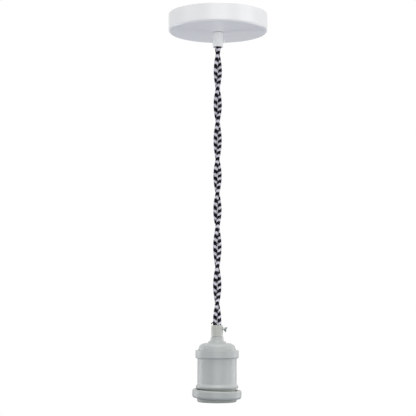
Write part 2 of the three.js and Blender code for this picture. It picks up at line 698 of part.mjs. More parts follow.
function baseScrew(side) {
  const screw = slottedScrew(
    BASE_SCREW_RADIUS, BASE_SCREW_LENGTH, BASE_SCREW_HEAD_RADIUS, BASE_SCREW_HEAD, EDGE);
  return screw.translate(0, side * BASE_SCREW_PLACE, BASE_TOP + SEAT + BASE_SCREW_HEAD);
}

// Insulating skirt: a neck inside the shell and a threaded end that carries the shade ring
function lampSkirt() {
  const step = SKIRT_BOTTOM + SKIRT_MOUTH_DEPTH;
  const body = turned([
    [SKIRT_NECK_RADIUS, SKIRT_TOP],
    [SKIRT_NECK_RADIUS, SKIRT_SHOULDER],
    [SKIRT_RADIUS, SKIRT_SHOULDER],
    [SKIRT_RADIUS, SKIRT_BOTTOM, SKIRT_ROUND],
    [SKIRT_MOUTH_RADIUS, SKIRT_BOTTOM, EDGE],
    [SKIRT_MOUTH_RADIUS, step],
    [SKIRT_BORE_RADIUS, step],
    [SKIRT_BORE_RADIUS, SKIRT_TOP],
  ], ROUND_LARGE);
  const depth = BASE_TOP - BASE_SCREW_LENGTH - SEAT;
  const holes = [-1, 1].map((side) =>
    rod(BASE_SCREW_RADIUS + CLEAR, depth, SKIRT_TOP + SEAT, ROUND_TINY)
      .translate(0, side * BASE_SCREW_PLACE, 0));
  return cut(body, ...holes);
}

// Rolled metal screw shell: the thread's ridges as rings, with an eye round the centre contact
function screwShell() {
  const top = BASE_BOTTOM - SEAT;
  const crest = THREAD_MINOR_RADIUS;
  const root = THREAD_MAJOR_RADIUS;
  const threadTop = top - 2 * SCREW_SHELL_SHEET;
  const inside = [];
  for (let k = 0; k <= 2 * THREAD_TURNS; k += 1) {
    inside.push([k % 2 === 0 ? crest : root, threadTop - (k * THREAD_PITCH) / 2]);
  }
  const outside = inside.map(([radius, height]) => [radius + SCREW_SHELL_SHEET, height]).reverse();
  return turned([
    [SCREW_SHELL_EYE_RADIUS, top],
    [SCREW_SHELL_EYE_RADIUS, top - SCREW_SHELL_SHEET],
    ...inside,
    ...outside,
    [crest + SCREW_SHELL_SHEET, top],
  ], ROUND_MIDDLE);
}

// A strip of contact sheet: its middle line, given thickness to one side
function contactStrip(line) {
  const side = (i, turn) => {
    const [x, y] = line[i];
    const before = line[Math.max(i - 1, 0)];
    const after = line[Math.min(i + 1, line.length - 1)];
    const along = new THREE.Vector2(after[0] - before[0], after[1] - before[1]).normalize();
    return [x - (turn * along.y * CONTACT_SHEET) / 2, y + (turn * along.x * CONTACT_SHEET) / 2];
  };
  const there = line.map((_, i) => side(i, 1));
  const back = line.map((_, i) => side(i, -1)).reverse();
  return drawnAlongY([...there, ...back], CONTACT_WIDTH);
}

const TAB_HEIGHT = BASE_TOP + SEAT + CONTACT_SHEET / 2;
const TONGUE_LOW = BASE_BOTTOM - TONGUE_DROP;

// Springy tongue under the base that meets the lamp, with its tab under the live clamp
function centreContact() {
  const leg = LIVE_LEG_PLACE;
  return contactStrip([
    [leg + CLAMP_LENGTH - 1, TAB_HEIGHT],
    [leg + 0.5, TAB_HEIGHT],
    [leg, TAB_HEIGHT - 0.5],
    [leg, BASE_BOTTOM - 0.9],
    [leg - 0.6, BASE_BOTTOM - 1.6],
    [TONGUE_REACH, TONGUE_LOW],
    [-TONGUE_REACH, TONGUE_LOW],
    [-2 * TONGUE_REACH, TONGUE_LOW + 0.9],
  ]);
}

// Strip from the neutral clamp down to the screw shell's flange
function sideContact() {
  const leg = -NEUTRAL_LEG_PLACE;
  return contactStrip([
    [leg + CLAMP_LENGTH - 2, TAB_HEIGHT],
    [leg + 0.5, TAB_HEIGHT],
    [leg, TAB_HEIGHT - 0.5],
    [leg, BASE_BOTTOM],
  ]);
}

const CLAMP_BOTTOM = TAB_HEIGHT + CONTACT_SHEET / 2 + SEAT;
const CLAMP_MIDDLE = CLAMP_INNER + CLAMP_LENGTH / 2;
const CLAMP_HOLE_HEIGHT = CLAMP_BOTTOM + CLAMP_HOLE_RISE;

// Brass clamp for one lead: the wire goes in along X, the screw comes from the top
function contactClamp(side) {
  const middle = side * CLAMP_MIDDLE;
  const height = CLAMP_BOTTOM + CLAMP_HEIGHT / 2;
  const body = block(CLAMP_LENGTH, CLAMP_WIDTH, CLAMP_HEIGHT, middle, 0, height);
  const way = rod(LEAD_RADIUS + CLEAR, -CLAMP_LENGTH, CLAMP_LENGTH, ROUND_TINY);
  way.rotateY(Math.PI / 2).translate(middle, 0, CLAMP_HOLE_HEIGHT);
  const tapped = rod(POLE_SCREW_RADIUS + CLEAR, CLAMP_HOLE_HEIGHT, height + CLAMP_HEIGHT, ROUND_TINY);
  return cut(body, way, tapped.translate(middle, 0, 0));
}

function clampScrew(side) {
  const seat = CLAMP_BOTTOM + CLAMP_HEIGHT + SEAT;
  const length = seat - CLAMP_HOLE_HEIGHT - LEAD_RADIUS - SEAT;
  const screw = slottedScrew(POLE_SCREW_RADIUS, length, CLAMP_HEAD_RADIUS, CLAMP_HEAD, EDGE);
  return screw.translate(side * CLAMP_MIDDLE, 0, seat + CLAMP_HEAD);
}

// Lead in the holder: down through the stem, then outwards into its clamp
function holderLead(side) {
  const [x, y] = onPair(CORE_END, LEAD_OFFSET, side * sideTowardsX(CORE_END));
  return tube([
    [x, y, HOLDER_MOUTH_FLOOR],
    [x, y, HOLDER_MOUTH_FLOOR - 6],
    [x, y, HOLDER_STEM_END + 0.5],
    [side * 1.9, y * 0.8, HOLDER_STEM_END - 2.2],
    [side * 3.6, y * 0.4, CLAMP_HOLE_HEIGHT + 1.5],
    [side * 5.8, 0, CLAMP_HOLE_HEIGHT + 0.2],
    [side * 8, 0, CLAMP_HOLE_HEIGHT],
    [side * 12, 0, CLAMP_HOLE_HEIGHT],
  ], LEAD_RADIUS, LEAD_SIDES, LEAD_STEPS);
}

// Threaded ring that clamps a shade against the shell's lip
function shadeRing() {
  const bore = RING_RADIUS - RING_WALL;
  return turned([
    [bore, 0, EDGE],
    [bore, -RING_HEIGHT, EDGE],
    [RING_RADIUS, -RING_HEIGHT, RING_FOOT_ROUND],
    [RING_RADIUS, 0, RING_ROUND],
  ], ROUND_LARGE);
}

add('rose_cup', roseCup(), white);
add('mounting_strap', mountingStrap(), steel);
add('rose_washer', roseWasher(), steel);
add('rose_nut', roseNut(), steel);
add('rose_grip', roseGrip(), nylon);
add('rose_grip_screw', roseGripScrew(), nylon);
add('earth_screw', earthScrew(), brass);
add('terminal_housing', terminalHousing(), nylon);

for (const [side, pole] of [[1, 'brown'], [-1, 'blue']]) {
  add(`terminal_sleeve_${pole}`, terminalSleeve(side), brass);
  add(`terminal_screw_${pole}_cord`, poleScrew(side, -1), steel);
  add(`terminal_screw_${pole}_supply`, poleScrew(side, 1), steel);
}
add('rose_lead_brown', roseLead(1), brown);
add('rose_lead_blue', roseLead(-1), blue);

add('cord_core_a', core(1), braid);
add('cord_core_b', core(-1), braid);

add('holder_grip', holderGrip(), clearNylon);
add('holder_grip_screw', holderGripScrew(), steel);
add('holder_cap', holderCap(), paleGrey);
add('holder_shell', holderShell(), paleGrey);
add('contact_base', contactBase(), moulding);
add('base_screw_front', baseScrew(-1), steel);
add('base_screw_back', baseScrew(1), steel);
add('lamp_skirt', lampSkirt(), moulding);
add('screw_shell', screwShell(), brass);
add('centre_contact', centreContact(), brass);
add('side_contact', sideContact(), brass);
for (const [side, pole] of [[1, 'live'], [-1, 'neutral']]) {
  add(`contact_clamp_${pole}`, contactClamp(side), brass);
  add(`clamp_screw_${pole}`, clampScrew(side), steel);
}
add('holder_lead_brown', holderLead(1), brown);
add('holder_lead_blue', holderLead(-1), blue);

const ring = add('shade_ring', shadeRing(), paleGrey);
ring.position.z = LIP_BOTTOM - RING_DROP;
ring.rotation.x = THREE.MathUtils.degToRad(RING_NOD);
ring.rotation.y = THREE.MathUtils.degToRad(RING_ROLL);

export default set;
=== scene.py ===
import math

import bmesh
import bpy
from mathutils import Matrix, Vector, noise


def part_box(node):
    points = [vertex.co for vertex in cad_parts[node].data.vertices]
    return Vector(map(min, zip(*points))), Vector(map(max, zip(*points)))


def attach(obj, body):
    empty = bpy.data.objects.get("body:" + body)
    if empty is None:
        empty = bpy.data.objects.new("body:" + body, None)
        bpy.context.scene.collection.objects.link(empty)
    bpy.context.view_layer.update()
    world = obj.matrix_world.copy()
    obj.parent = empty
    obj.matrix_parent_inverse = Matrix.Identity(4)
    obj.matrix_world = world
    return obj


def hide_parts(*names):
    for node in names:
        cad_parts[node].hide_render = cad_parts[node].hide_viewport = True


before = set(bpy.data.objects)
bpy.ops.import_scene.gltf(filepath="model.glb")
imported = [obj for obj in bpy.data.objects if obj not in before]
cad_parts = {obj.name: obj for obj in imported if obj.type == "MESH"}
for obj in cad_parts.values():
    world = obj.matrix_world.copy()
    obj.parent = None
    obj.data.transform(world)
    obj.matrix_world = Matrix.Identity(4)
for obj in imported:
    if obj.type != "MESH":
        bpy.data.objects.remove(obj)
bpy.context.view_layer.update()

MM = 0.001
scene = bpy.context.scene

# Camera: 1.2 m from the cord, at the holder's height, tilted up and a little left of the cord.
# The set hangs a touch off the picture's upright, which is the camera's roll.
CAMERA_PLACE = (-0.0091, -1.2, -0.2977)
CAMERA_TILT = math.radians(4.84)
CAMERA_ROLL = math.radians(-0.19)
CAMERA_LENS = 104.4
CAMERA_SENSOR = 36

camera = bpy.data.objects.new("camera", bpy.data.cameras.new("camera"))
scene.collection.objects.link(camera)
camera.location = CAMERA_PLACE
camera.rotation_euler = (math.pi / 2 + CAMERA_TILT, CAMERA_ROLL, 0)
camera.data.sensor_width = CAMERA_SENSOR
camera.data.lens = CAMERA_LENS
camera.data.clip_start = 0.05
camera.data.clip_end = 60
scene.camera = camera


# Braided cores: two flexible wires, each in its own black and white rayon braid, twisted round
# each other with a right-handed lay that was done by hand, so its pitch wanders. Each runs from
# the mouth of the rose's grip to the mouth of the holder's grip.
CORD_TOP = -24.5
CORD_END = -320.1
CORD_CROSSINGS = [-5, -40, -75, -109, -147, -181, -215, -255, -291, -327]
CORE_RADIUS = 1.98
PAIR_RADIUS = 2.15
BRAID_STATION = 24
BRAID_COUNTS = {
    1: [0.25, 3.94, 7.58, 11.15, 14.84, 18.61, 22.45, 26.15, 29.82, 33.5, 37.12, 40.85, 44.44],
    -1: [0.77, 4.38, 8.02, 11.71, 15.36, 19.15, 23.09, 26.68, 30.35, 34.08, 37.49, 41.15, 44.86],
}
BRAID_SPAN = 50
BRAID_RISE = 0.45
BRAID_RIBS = 6
STRAND_SHARE = 0.25
STRAND_STEP = 0.8
BRAID_RELIEF = 0.13
BRAID_WANDER = 0.06
WANDER_ALONG = 0.9
WANDER_AROUND = 2.2
BRAID_SIDES = 40
BRAID_STEPS = 1100
FRAY_ROOT = Vector((-2.6, -1.2, -309.7))
FRAY_TIP = Vector((-6.1, -1.8, -311.1))
FRAY_ARCH = 0.35
FRAY_RADIUS = 0.75
FRAY_TAPER = 0.35
FRAY_SIDES = 10
FRAY_STEPS = 12
FRAY_BLACK = (0.5, 0.56 / BRAID_SPAN)
YARN_BLACK = (0.004, 0.0035, 0.008)
YARN_WHITE = (0.72, 0.7, 0.78)
HAIR_SCALE = 2600.0
HAIR_RANGE = (0.3, 0.7)
HAIR_STRAY = 0.04
HAIR_RELIEF = 0.4
TUFT_SCALE = 1300.0
TUFT_RANGE = (0.32, 0.68)
TUFT_STRAY = 0.09
BLACK_FROM = 0.37
BLACK_FULL = 0.43
# Painted shade: the share of the white yarn's colour left at the bottom of each furrow between ribs
FURROW_PAINTED_SHADE = 0.72
YARN_GLOSS = (0.75, 0.95)
YARN_SPECULAR = 0.12
YARN_SHEEN = 0.03
YARN_SHEEN_ROUGHNESS = 0.4
YARN_BUMP = 0.08


def put(tree, kind, values=None, links=None, **settings):
    """Adds a node, sets its sockets and joins others to it"""
    made = tree.nodes.new(kind)
    for name, value in settings.items():
        setattr(made, name, value)
    for socket, value in (values or {}).items():
        made.inputs[socket].default_value = value
    for socket, source in (links or {}).items():
        tree.links.new(source, made.inputs[socket])
    return made


def calc(tree, operation, *terms):
    """A Math node on numbers and sockets, as a socket"""
    made = tree.nodes.new("ShaderNodeMath")
    made.operation = operation
    for socket, term in zip(made.inputs, terms):
        if isinstance(term, (int, float)):
            socket.default_value = term
        else:
            tree.links.new(term, socket)
    return made.outputs[0]


def spread(tree, source, low, high, start=0.0, end=1.0):
    """Maps a socket from one range to another, clamped"""
    made = put(tree, "ShaderNodeMapRange", links={"Value": source})
    for name, value in zip(("From Min", "From Max", "To Min", "To Max"), (start, end, low, high)):
        made.inputs[name].default_value = value
    return made.outputs["Result"]


def tinted(tree, share, first, second):
    """A colour between two by a share"""
    made = tree.nodes.new("ShaderNodeMix")
    made.data_type = "RGBA"
    tree.links.new(share, made.inputs["Factor"])
    for name, colour in (("A", first), ("B", second)):
        socket = next(s for s in made.inputs if s.name == name and s.type == "RGBA")
        if isinstance(colour, tuple):
            socket.default_value = (*colour[:3], 1)
        else:
            tree.links.new(colour, socket)
    return next(s for s in made.outputs if s.type == "RGBA")


def new_finish(name, colour, roughness, metallic=0.0):
    """A material with its plain values on the shader: the material, its tree and its shader"""
    made = bpy.data.materials.new(name)
    made.use_nodes = True
    shader = made.node_tree.nodes["Principled BSDF"]
    shader.inputs["Base Color"].default_value = (*colour, 1)
    shader.inputs["Roughness"].default_value = roughness
    shader.inputs["Metallic"].default_value = metallic
    return made, made.node_tree, shader


def bumped(tree, shader, height, distance):
    """Relief on a shader's normal"""
    bump = put(tree, "ShaderNodeBump", {"Distance": distance, "Strength": 1.0}, {"Height": height})
    tree.links.new(bump.outputs["Normal"], shader.inputs["Normal"])


def twist_at(height):
    """Turn of the pair at a height: half a turn from each crossing to the next"""
    passed = sum(mark >= height for mark in CORD_CROSSINGS) - 1
    step = min(max(passed, 0), len(CORD_CROSSINGS) - 2)
    share = (CORD_CROSSINGS[step] - height) / (CORD_CROSSINGS[step] - CORD_CROSSINGS[step + 1])
    return math.pi / 2 - math.pi * (step + share)


def core_centre(height, side):
    """Middle of a core at a height, in millimetres"""
    turn = twist_at(height)
    return Vector((side * PAIR_RADIUS * math.cos(turn), side * PAIR_RADIUS * math.sin(turn), height))


def braid_count(height, side):
    """Zigzags of a core's braid from the top down to a height"""
    counts = BRAID_COUNTS[side]
    station = (CORD_TOP - height) / BRAID_STATION
    step = min(int(station), len(counts) - 2)
    return counts[step] + (station - step) * (counts[step + 1] - counts[step])


def rolled_sheet(sides, steps):
    """A flat sheet to be rolled into a tube, with its UV layer"""
    bm = bmesh.new()
    layer = bm.loops.layers.uv.new("UVMap")
    bmesh.ops.create_grid(bm, x_segments=sides, y_segments=steps, size=0.5, calc_uvs=True)
    return bm, layer


def closed_tube(bm):
    """Joins a rolled sheet's edges and closes its ends"""
    bmesh.ops.remove_doubles(bm, verts=bm.verts, dist=1e-7)
    bmesh.ops.holes_fill(bm, edges=[edge for edge in bm.edges if edge.is_boundary], sides=0)
    bmesh.ops.recalc_face_normals(bm, faces=bm.faces)
    return bm


def frayed_yarn():
    """A loose black yarn that stands out over the rim of the holder's grip"""
    bm, layer = rolled_sheet(FRAY_SIDES, FRAY_STEPS)
    for vertex in bm.verts:
        turn, share = 2 * math.pi * (vertex.co.x + 0.5), 0.5 - vertex.co.y
        place = FRAY_ROOT.lerp(FRAY_TIP, share) + Vector((0, 0, FRAY_ARCH * math.sin(math.pi * share)))
        radius = FRAY_RADIUS * (1 - FRAY_TAPER * share)
        vertex.co = (place + radius * Vector((0, math.cos(turn), math.sin(turn)))) * MM
        for loop in vertex.link_loops:
            loop[layer].uv = FRAY_BLACK
    return closed_tube(bm)


def braided_core(side):
    """A braid's flat sheet, rolled round its core and laid along the twist"""
    bm, layer = rolled_sheet(BRAID_SIDES, BRAID_STEPS)
    inwards = 0.0 if side > 0 else math.pi
    for vertex in bm.verts:
        u, v = vertex.co.x + 0.5, 0.5 - vertex.co.y
        height = CORD_TOP + (CORD_END - CORD_TOP) * v
        turn = twist_at(height) + inwards + math.pi + 2 * math.pi * u
        centre = core_centre(height, side)
        count = braid_count(height, side)
        for loop in vertex.link_loops:
            loop[layer].uv.y = count / BRAID_SPAN
        rib = abs(math.sin(math.pi * BRAID_RIBS * (count - BRAID_RISE * abs(2 * u - 1))))
        around = Vector((math.cos(turn), math.sin(turn), 0))
        wander = BRAID_WANDER * noise.noise(centre * WANDER_ALONG + WANDER_AROUND * around)
        vertex.co = (centre + around * (CORE_RADIUS + BRAID_RELIEF * (rib - 0.5) + wander)) * MM
    return closed_tube(bm)


def braid_finish():
    """Rayon braid: black and white zigzags, ribbed yarn by yarn, with painted shade in the furrows and a
    soft sheen
    """
    finish, tree, shader = new_finish("rayon_braid", YARN_WHITE, YARN_GLOSS[0])
    place = put(tree, "ShaderNodeTexCoord").outputs["Object"]
    sheet = put(tree, "ShaderNodeUVMap", uv_map="UVMap").outputs["UV"]
    parts = put(tree, "ShaderNodeSeparateXYZ", links={"Vector": sheet})
    hairs = put(tree, "ShaderNodeTexNoise", {"Scale": HAIR_SCALE, "Detail": 3.0, "Roughness": 0.6},
                {"Vector": place}).outputs["Fac"]
    tufts = put(tree, "ShaderNodeTexNoise", {"Scale": TUFT_SCALE, "Detail": 2.0, "Roughness": 0.6},
                {"Vector": place}).outputs["Fac"]
    arm = calc(tree, "PINGPONG", calc(tree, "MULTIPLY_ADD", parts.outputs["X"], 2.0, 1.0), 1.0)
    stepped = calc(tree, "ADD", calc(tree, "SNAP", arm, STRAND_SHARE), STRAND_SHARE / 2)
    arm = calc(tree, "MULTIPLY_ADD", calc(tree, "SUBTRACT", stepped, arm), STRAND_STEP, arm)
    along = calc(tree, "MULTIPLY", parts.outputs["Y"], float(BRAID_SPAN))
    phase = calc(tree, "SUBTRACT", along, calc(tree, "MULTIPLY", arm, BRAID_RISE))
    loose = calc(tree, "ADD", spread(tree, hairs, -HAIR_STRAY, HAIR_STRAY, *HAIR_RANGE),
                 spread(tree, tufts, -TUFT_STRAY, TUFT_STRAY, *TUFT_RANGE))
    frayed = calc(tree, "ADD", phase, loose)
    band = calc(tree, "PINGPONG", calc(tree, "MULTIPLY", frayed, 2.0), 1.0)
    black = spread(tree, band, 0.0, 1.0, BLACK_FROM, BLACK_FULL)
    rib = calc(tree, "ABSOLUTE", calc(tree, "SINE", calc(tree, "MULTIPLY", phase, math.pi * BRAID_RIBS)))
    # Painted shade: the white yarn is darkened towards the furrows between the ribs
    furrow_painted_shade = spread(tree, rib, FURROW_PAINTED_SHADE, 1.0, 0.0, 0.5)
    shaded = put(tree, "ShaderNodeVectorMath", operation="SCALE")
    shaded.inputs[0].default_value = YARN_WHITE
    tree.links.new(furrow_painted_shade, shaded.inputs["Scale"])
    colour = tinted(tree, black, shaded.outputs[0], YARN_BLACK)
    tree.links.new(colour, shader.inputs["Base Color"])
    tree.links.new(spread(tree, hairs, *YARN_GLOSS, *HAIR_RANGE), shader.inputs["Roughness"])
    shader.inputs["Specular IOR Level"].default_value = YARN_SPECULAR
    relief = calc(tree, "MULTIPLY_ADD", hairs, HAIR_RELIEF, rib)
    bumped(tree, shader, relief, YARN_BUMP * MM)
    shader.inputs["Sheen Weight"].default_value = YARN_SHEEN
    shader.inputs["Sheen Roughness"].default_value = YARN_SHEEN_ROUGHNESS
    return finish


def shown(name, bm, finish, body="pendant", stands_for=(), sharp=32):
    """Makes a finished mesh into a piece that rides on a body"""
    mesh = bpy.data.meshes.new(name)
    bm.to_mesh(mesh)
    bm.free()
    mesh.shade_smooth()
    mesh.set_sharp_from_angle(angle=math.radians(sharp))
    mesh.materials.append(finish)
    piece = bpy.data.objects.new(name, mesh)
    scene.collection.objects.link(piece)
    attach(piece, body)
    if stands_for:
        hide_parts(*stands_for)
    return piece


rayon = braid_finish()
for letter, side in (("a", 1), ("b", -1)):
    core = shown(f"braided_core_{letter}", braided_core(side), rayon,
                 stands_for=[f"cord_core_{letter}"], sharp=180)
shown("frayed_yarn", frayed_yarn(), rayon)


# Stage: a pale floor far below, a white backdrop by the world, and soft lamps.
FLOOR_DROP = -1.6
FLOOR_HALF = 7.5
FLOOR_SEEN = (0.9, 0.9, 0.9)
FLOOR_BOUNCE = (0.45, 0.475, 0.54)
SKY_LEVEL = 0.36
SKY_RISE = 0.25
LAMP_AIM = Vector((0, 0, -0.25))
# Each lamp's place, power in watts, width and height, and colour
LAMPS = {
    "right_lamp": ((1.75, -0.75, 0.05), 8.8, (1.2, 1.6), (1.0, 0.995, 0.98)),
    "left_lamp": ((-1.75, -0.75, 0.05), 5.3, (1.2, 1.6), (0.98, 0.99, 1.0)),
    "front_lamp": ((0.1, -2.2, -0.2), 14.5, (1.6, 1.6), (1.0, 1.0, 1.0)),
    "right_rim_lamp": ((0.5, 0.22, -0.36), 0.8, (0.25, 0.4), (1.0, 1.0, 1.0)),
    "left_rim_lamp": ((-0.5, 0.22, -0.36), 0.95, (0.25, 0.4), (1.0, 1.0, 1.0)),
    "top_lamp": ((0.1, -0.5, 2.2), 34, (1.2, 1.2), (1.0, 1.0, 1.0)),
}


def seen_directly(tree):
    """1 for camera, glossy and transmission rays"""
    path = put(tree, "ShaderNodeLightPath")
    seen = calc(tree, "ADD", path.outputs["Is Camera Ray"], path.outputs["Is Glossy Ray"])
    return calc(tree, "MINIMUM", calc(tree, "ADD", seen, path.outputs["Is Transmission Ray"]), 1.0)


def light_world():
    """A soft grey sky, a little brighter overhead, that shows as white"""
    world = bpy.data.worlds.new("studio")
    scene.world = world
    world.use_nodes = True
    tree = world.node_tree
    tree.nodes.clear()
    upwards = put(tree, "ShaderNodeSeparateXYZ",
                  links={"Vector": put(tree, "ShaderNodeTexCoord").outputs["Generated"]}).outputs["Z"]
    level = calc(tree, "MULTIPLY_ADD", upwards, SKY_RISE, SKY_LEVEL)
    soft = put(tree, "ShaderNodeBackground", {"Color": (1, 1, 1, 1)}, {"Strength": level})
    white = put(tree, "ShaderNodeBackground", {"Color": (1, 1, 1, 1), "Strength": 1.0})
    either = put(tree, "ShaderNodeMixShader", links={"Fac": seen_directly(tree)})
    tree.links.new(soft.outputs[0], either.inputs[1])
    tree.links.new(white.outputs[0], either.inputs[2])
    put(tree, "ShaderNodeOutputWorld", links={"Surface": either.outputs[0]})


def floor_finish():
    """Pale to the camera, and darker and bluer in the light that it throws back"""
    finish, tree, shader = new_finish("pale_floor", FLOOR_SEEN, 1.0)
    seen = put(tree, "ShaderNodeLightPath").outputs["Is Camera Ray"]
    tree.links.new(tinted(tree, seen, FLOOR_BOUNCE, FLOOR_SEEN), shader.inputs["Base Color"])
    shader.inputs["Specular IOR Level"].default_value = 0
    return finish


def lamp(name, place, power, size, colour):
    """A soft lamp that shines at the middle of the set"""
    data = bpy.data.lights.new(name, "AREA")
    data.shape = "RECTANGLE"
    data.size, data.size_y = size
    data.energy = power
    data.color = colour
    made = bpy.data.objects.new(name, data)
    made.location = place
    made.rotation_euler = (LAMP_AIM - Vector(place)).to_track_quat("-Z", "Y").to_euler()
    made.visible_camera = False
    scene.collection.objects.link(made)


scene.view_settings.view_transform = "Standard"
light_world()
floor_mesh = bmesh.new()
bmesh.ops.create_grid(floor_mesh, x_segments=1, y_segments=1, size=FLOOR_HALF,
                      matrix=Matrix.Translation((0, 0, FLOOR_DROP)))
floor_data = bpy.data.meshes.new("floor")
floor_mesh.to_mesh(floor_data)
floor_mesh.free()
floor_data.materials.append(floor_finish())
floor = bpy.data.objects.new("floor", floor_data)
scene.collection.objects.link(floor)
for name, (place, power, size, colour) in LAMPS.items():
    lamp(name, place, power, size, colour)


# Rose cup: a shallow cup pressed from steel sheet, 100 mm across, with a rounded lower corner and
# a semi-gloss white powder coat. The cord grip's stem comes through its middle and clamps it.
FULL_TURN_STEPS = 224
FILLET_SEGMENTS = 6
PEEL_RELIEF = 0.02
CUP_WALL = 1.0
CUP_CORNER = 2.4
CUP_RIM_ROUND = 0.25
CUP_HOLE_RADIUS = 4.2
ROSE_WHITE = (0.87, 0.87, 0.868)
ROSE_SHADE = (0.85, 0.855, 0.858)
ROSE_ROUGHNESS = 0.2
ROSE_SMUDGING = 0.05


def reach(node):
    """Lowest and highest corner of a CAD node, in millimetres"""
    low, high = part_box(node)
    return low / MM, high / MM


def section(corners):
    """A closed section of [radius, height, fillet] corners, drawn in the plane y = 0"""
    bm = bmesh.new()
    points = [bm.verts.new((corner[0] * MM, 0, corner[1] * MM)) for corner in corners]
    bm.faces.new(points)
    places = [point.co.copy() for point in points]
    for k, (point, corner) in enumerate(zip(points, corners)):
        if len(corner) < 3:
            continue
        back = (places[k - 1] - places[k]).normalized()
        ahead = (places[(k + 1) % len(places)] - places[k]).normalized()
        tangent = corner[2] * MM / math.tan(back.angle(ahead) / 2)
        bmesh.ops.bevel(bm, geom=[point], offset=tangent, offset_type="OFFSET",
                        segments=FILLET_SEGMENTS, profile=0.5, affect="VERTICES",
                        clamp_overlap=False, material=-1)
    bmesh.ops.delete(bm, geom=bm.faces[:], context="FACES_ONLY")
    on_axis = [edge for edge in bm.edges if all(abs(v.co.x) < 1e-7 for v in edge.verts)]
    bmesh.ops.delete(bm, geom=on_axis, context="EDGES")
    return bm


def turned(corners, steps=FULL_TURN_STEPS):
    """A section turned about the cord's axis"""
    bm = section(corners)
    bmesh.ops.spin(bm, geom=bm.verts[:] + bm.edges[:], cent=(0, 0, 0), axis=(0, 0, 1),
                   angle=2 * math.pi, steps=steps, use_merge=True)
    bmesh.ops.remove_doubles(bm, verts=bm.verts, dist=1e-7)
    bmesh.ops.recalc_face_normals(bm, faces=bm.faces)
    return bm


def even_shading(piece):
    """Shades the flats flat and the fillets round"""
    weights = piece.modifiers.new("weights", "WEIGHTED_NORMAL")
    weights.keep_sharp = True


def coat_group():
    """Sprayed or moulded surface: fine orange peel, faint smudges and slow changes of tone"""
    group = bpy.data.node_groups.new("sprayed_coat", "ShaderNodeTree")
    size = group.interface.new_socket("Peel Size", in_out="INPUT", socket_type="NodeSocketFloat")
    size.default_value = 900.0
    for name in ("Peel", "Smudge", "Tone"):
        group.interface.new_socket(name, in_out="OUTPUT", socket_type="NodeSocketFloat")
    begin = put(group, "NodeGroupInput")
    place = put(group, "ShaderNodeTexCoord").outputs["Object"]
    peel = put(group, "ShaderNodeTexNoise", {"Detail": 2.0, "Roughness": 0.45},
               {"Vector": place, "Scale": begin.outputs["Peel Size"]})
    smudge = put(group, "ShaderNodeTexNoise", {"Scale": 90.0, "Detail": 5.0, "Roughness": 0.6,
                                               "Distortion": 0.8}, {"Vector": place})
    tone = put(group, "ShaderNodeTexNoise", {"Scale": 28.0, "Detail": 2.0}, {"Vector": place})
    end = put(group, "NodeGroupOutput")
    group.links.new(peel.outputs["Fac"], end.inputs["Peel"])
    group.links.new(spread(group, smudge.outputs["Fac"], 0, 1, 0.35, 0.7), end.inputs["Smudge"])
    group.links.new(spread(group, tone.outputs["Fac"], 0, 1, 0.3, 0.7), end.inputs["Tone"])
    return group


SPRAYED_COAT = coat_group()


def coated(name, colour, shade, roughness, peel_size=900.0, smudging=0.1, milk=None):
    """Paint or moulded plastic: two near tones, smudges in the gloss and a fine relief.
    Milk is the share and the depth, in metres, of the light that goes in"""
    finish, tree, shader = new_finish(name, colour, roughness)
    coat = put(tree, "ShaderNodeGroup", node_tree=SPRAYED_COAT)
    coat.inputs["Peel Size"].default_value = peel_size
    tree.links.new(tinted(tree, coat.outputs["Tone"], colour, shade), shader.inputs["Base Color"])
    gloss = spread(tree, coat.outputs["Smudge"], roughness, roughness + smudging)
    tree.links.new(gloss, shader.inputs["Roughness"])
    bumped(tree, shader, coat.outputs["Peel"], PEEL_RELIEF * MM)
    if milk:
        shader.inputs["Subsurface Weight"].default_value = milk[0]
        shader.inputs["Subsurface Radius"].default_value = milk[1]
        shader.inputs["Subsurface Scale"].default_value = 1.0
    return finish


cup_low, cup_high = reach("rose_cup")
rose_paint = coated("rose_paint", ROSE_WHITE, ROSE_SHADE, ROSE_ROUGHNESS, smudging=ROSE_SMUDGING)
cup = turned([
    (CUP_HOLE_RADIUS, cup_low.z, CUP_RIM_ROUND),
    (cup_high.x, cup_low.z, CUP_CORNER),
    (cup_high.x, cup_high.z, CUP_RIM_ROUND),
    (cup_high.x - CUP_WALL, cup_high.z, CUP_RIM_ROUND),
    (cup_high.x - CUP_WALL, cup_low.z + CUP_WALL, CUP_CORNER - CUP_WALL),
    (CUP_HOLE_RADIUS, cup_low.z + CUP_WALL, CUP_RIM_ROUND),
])
even_shading(shown("cup", cup, rose_paint, stands_for=["rose_cup"]))


# Mounting strap: one strip of zinc-plated steel, bent to a hat. Its feet are screwed to the
# ceiling through two slots, and its dropped middle carries the cup and the earth screw.
STRAP_SHEET = 1.8
STRAP_HAT = 37
STRAP_BEND = 2.4
STRAP_INNER_BEND = 0.6
STRAP_END_ROUND = 4.0
SLOT_RADIUS = 2.2
SLOT_STRAIGHT = 9.6
SLOT_PLACE = 30
STEM_HOLE_RADIUS = 4.2
EARTH_HOLE_RADIUS = 2.0
EARTH_SCREW_PLACE = 12.2
ROUND_STEPS = 48
SHEET_EDGE = 0.25
PLATE_GRAIN = 2400.0
PLATE_RELIEF = 0.008
ZINC = (0.62, 0.63, 0.63)
ZINC_STAIN = (0.5, 0.52, 0.5)
ZINC_SATIN = (0.26, 0.42)


def metal_finish(name, colour, stain, satin):
    """Plated or bare metal: faint stains and a satin that wanders"""
    finish, tree, shader = new_finish(name, colour, satin[0], 1.0)
    coat = put(tree, "ShaderNodeGroup", node_tree=SPRAYED_COAT)
    coat.inputs["Peel Size"].default_value = PLATE_GRAIN
    tree.links.new(tinted(tree, coat.outputs["Tone"], colour, stain), shader.inputs["Base Color"])
    tree.links.new(spread(tree, coat.outputs["Smudge"], *satin), shader.inputs["Roughness"])
    bumped(tree, shader, coat.outputs["Peel"], PLATE_RELIEF * MM)
    return finish


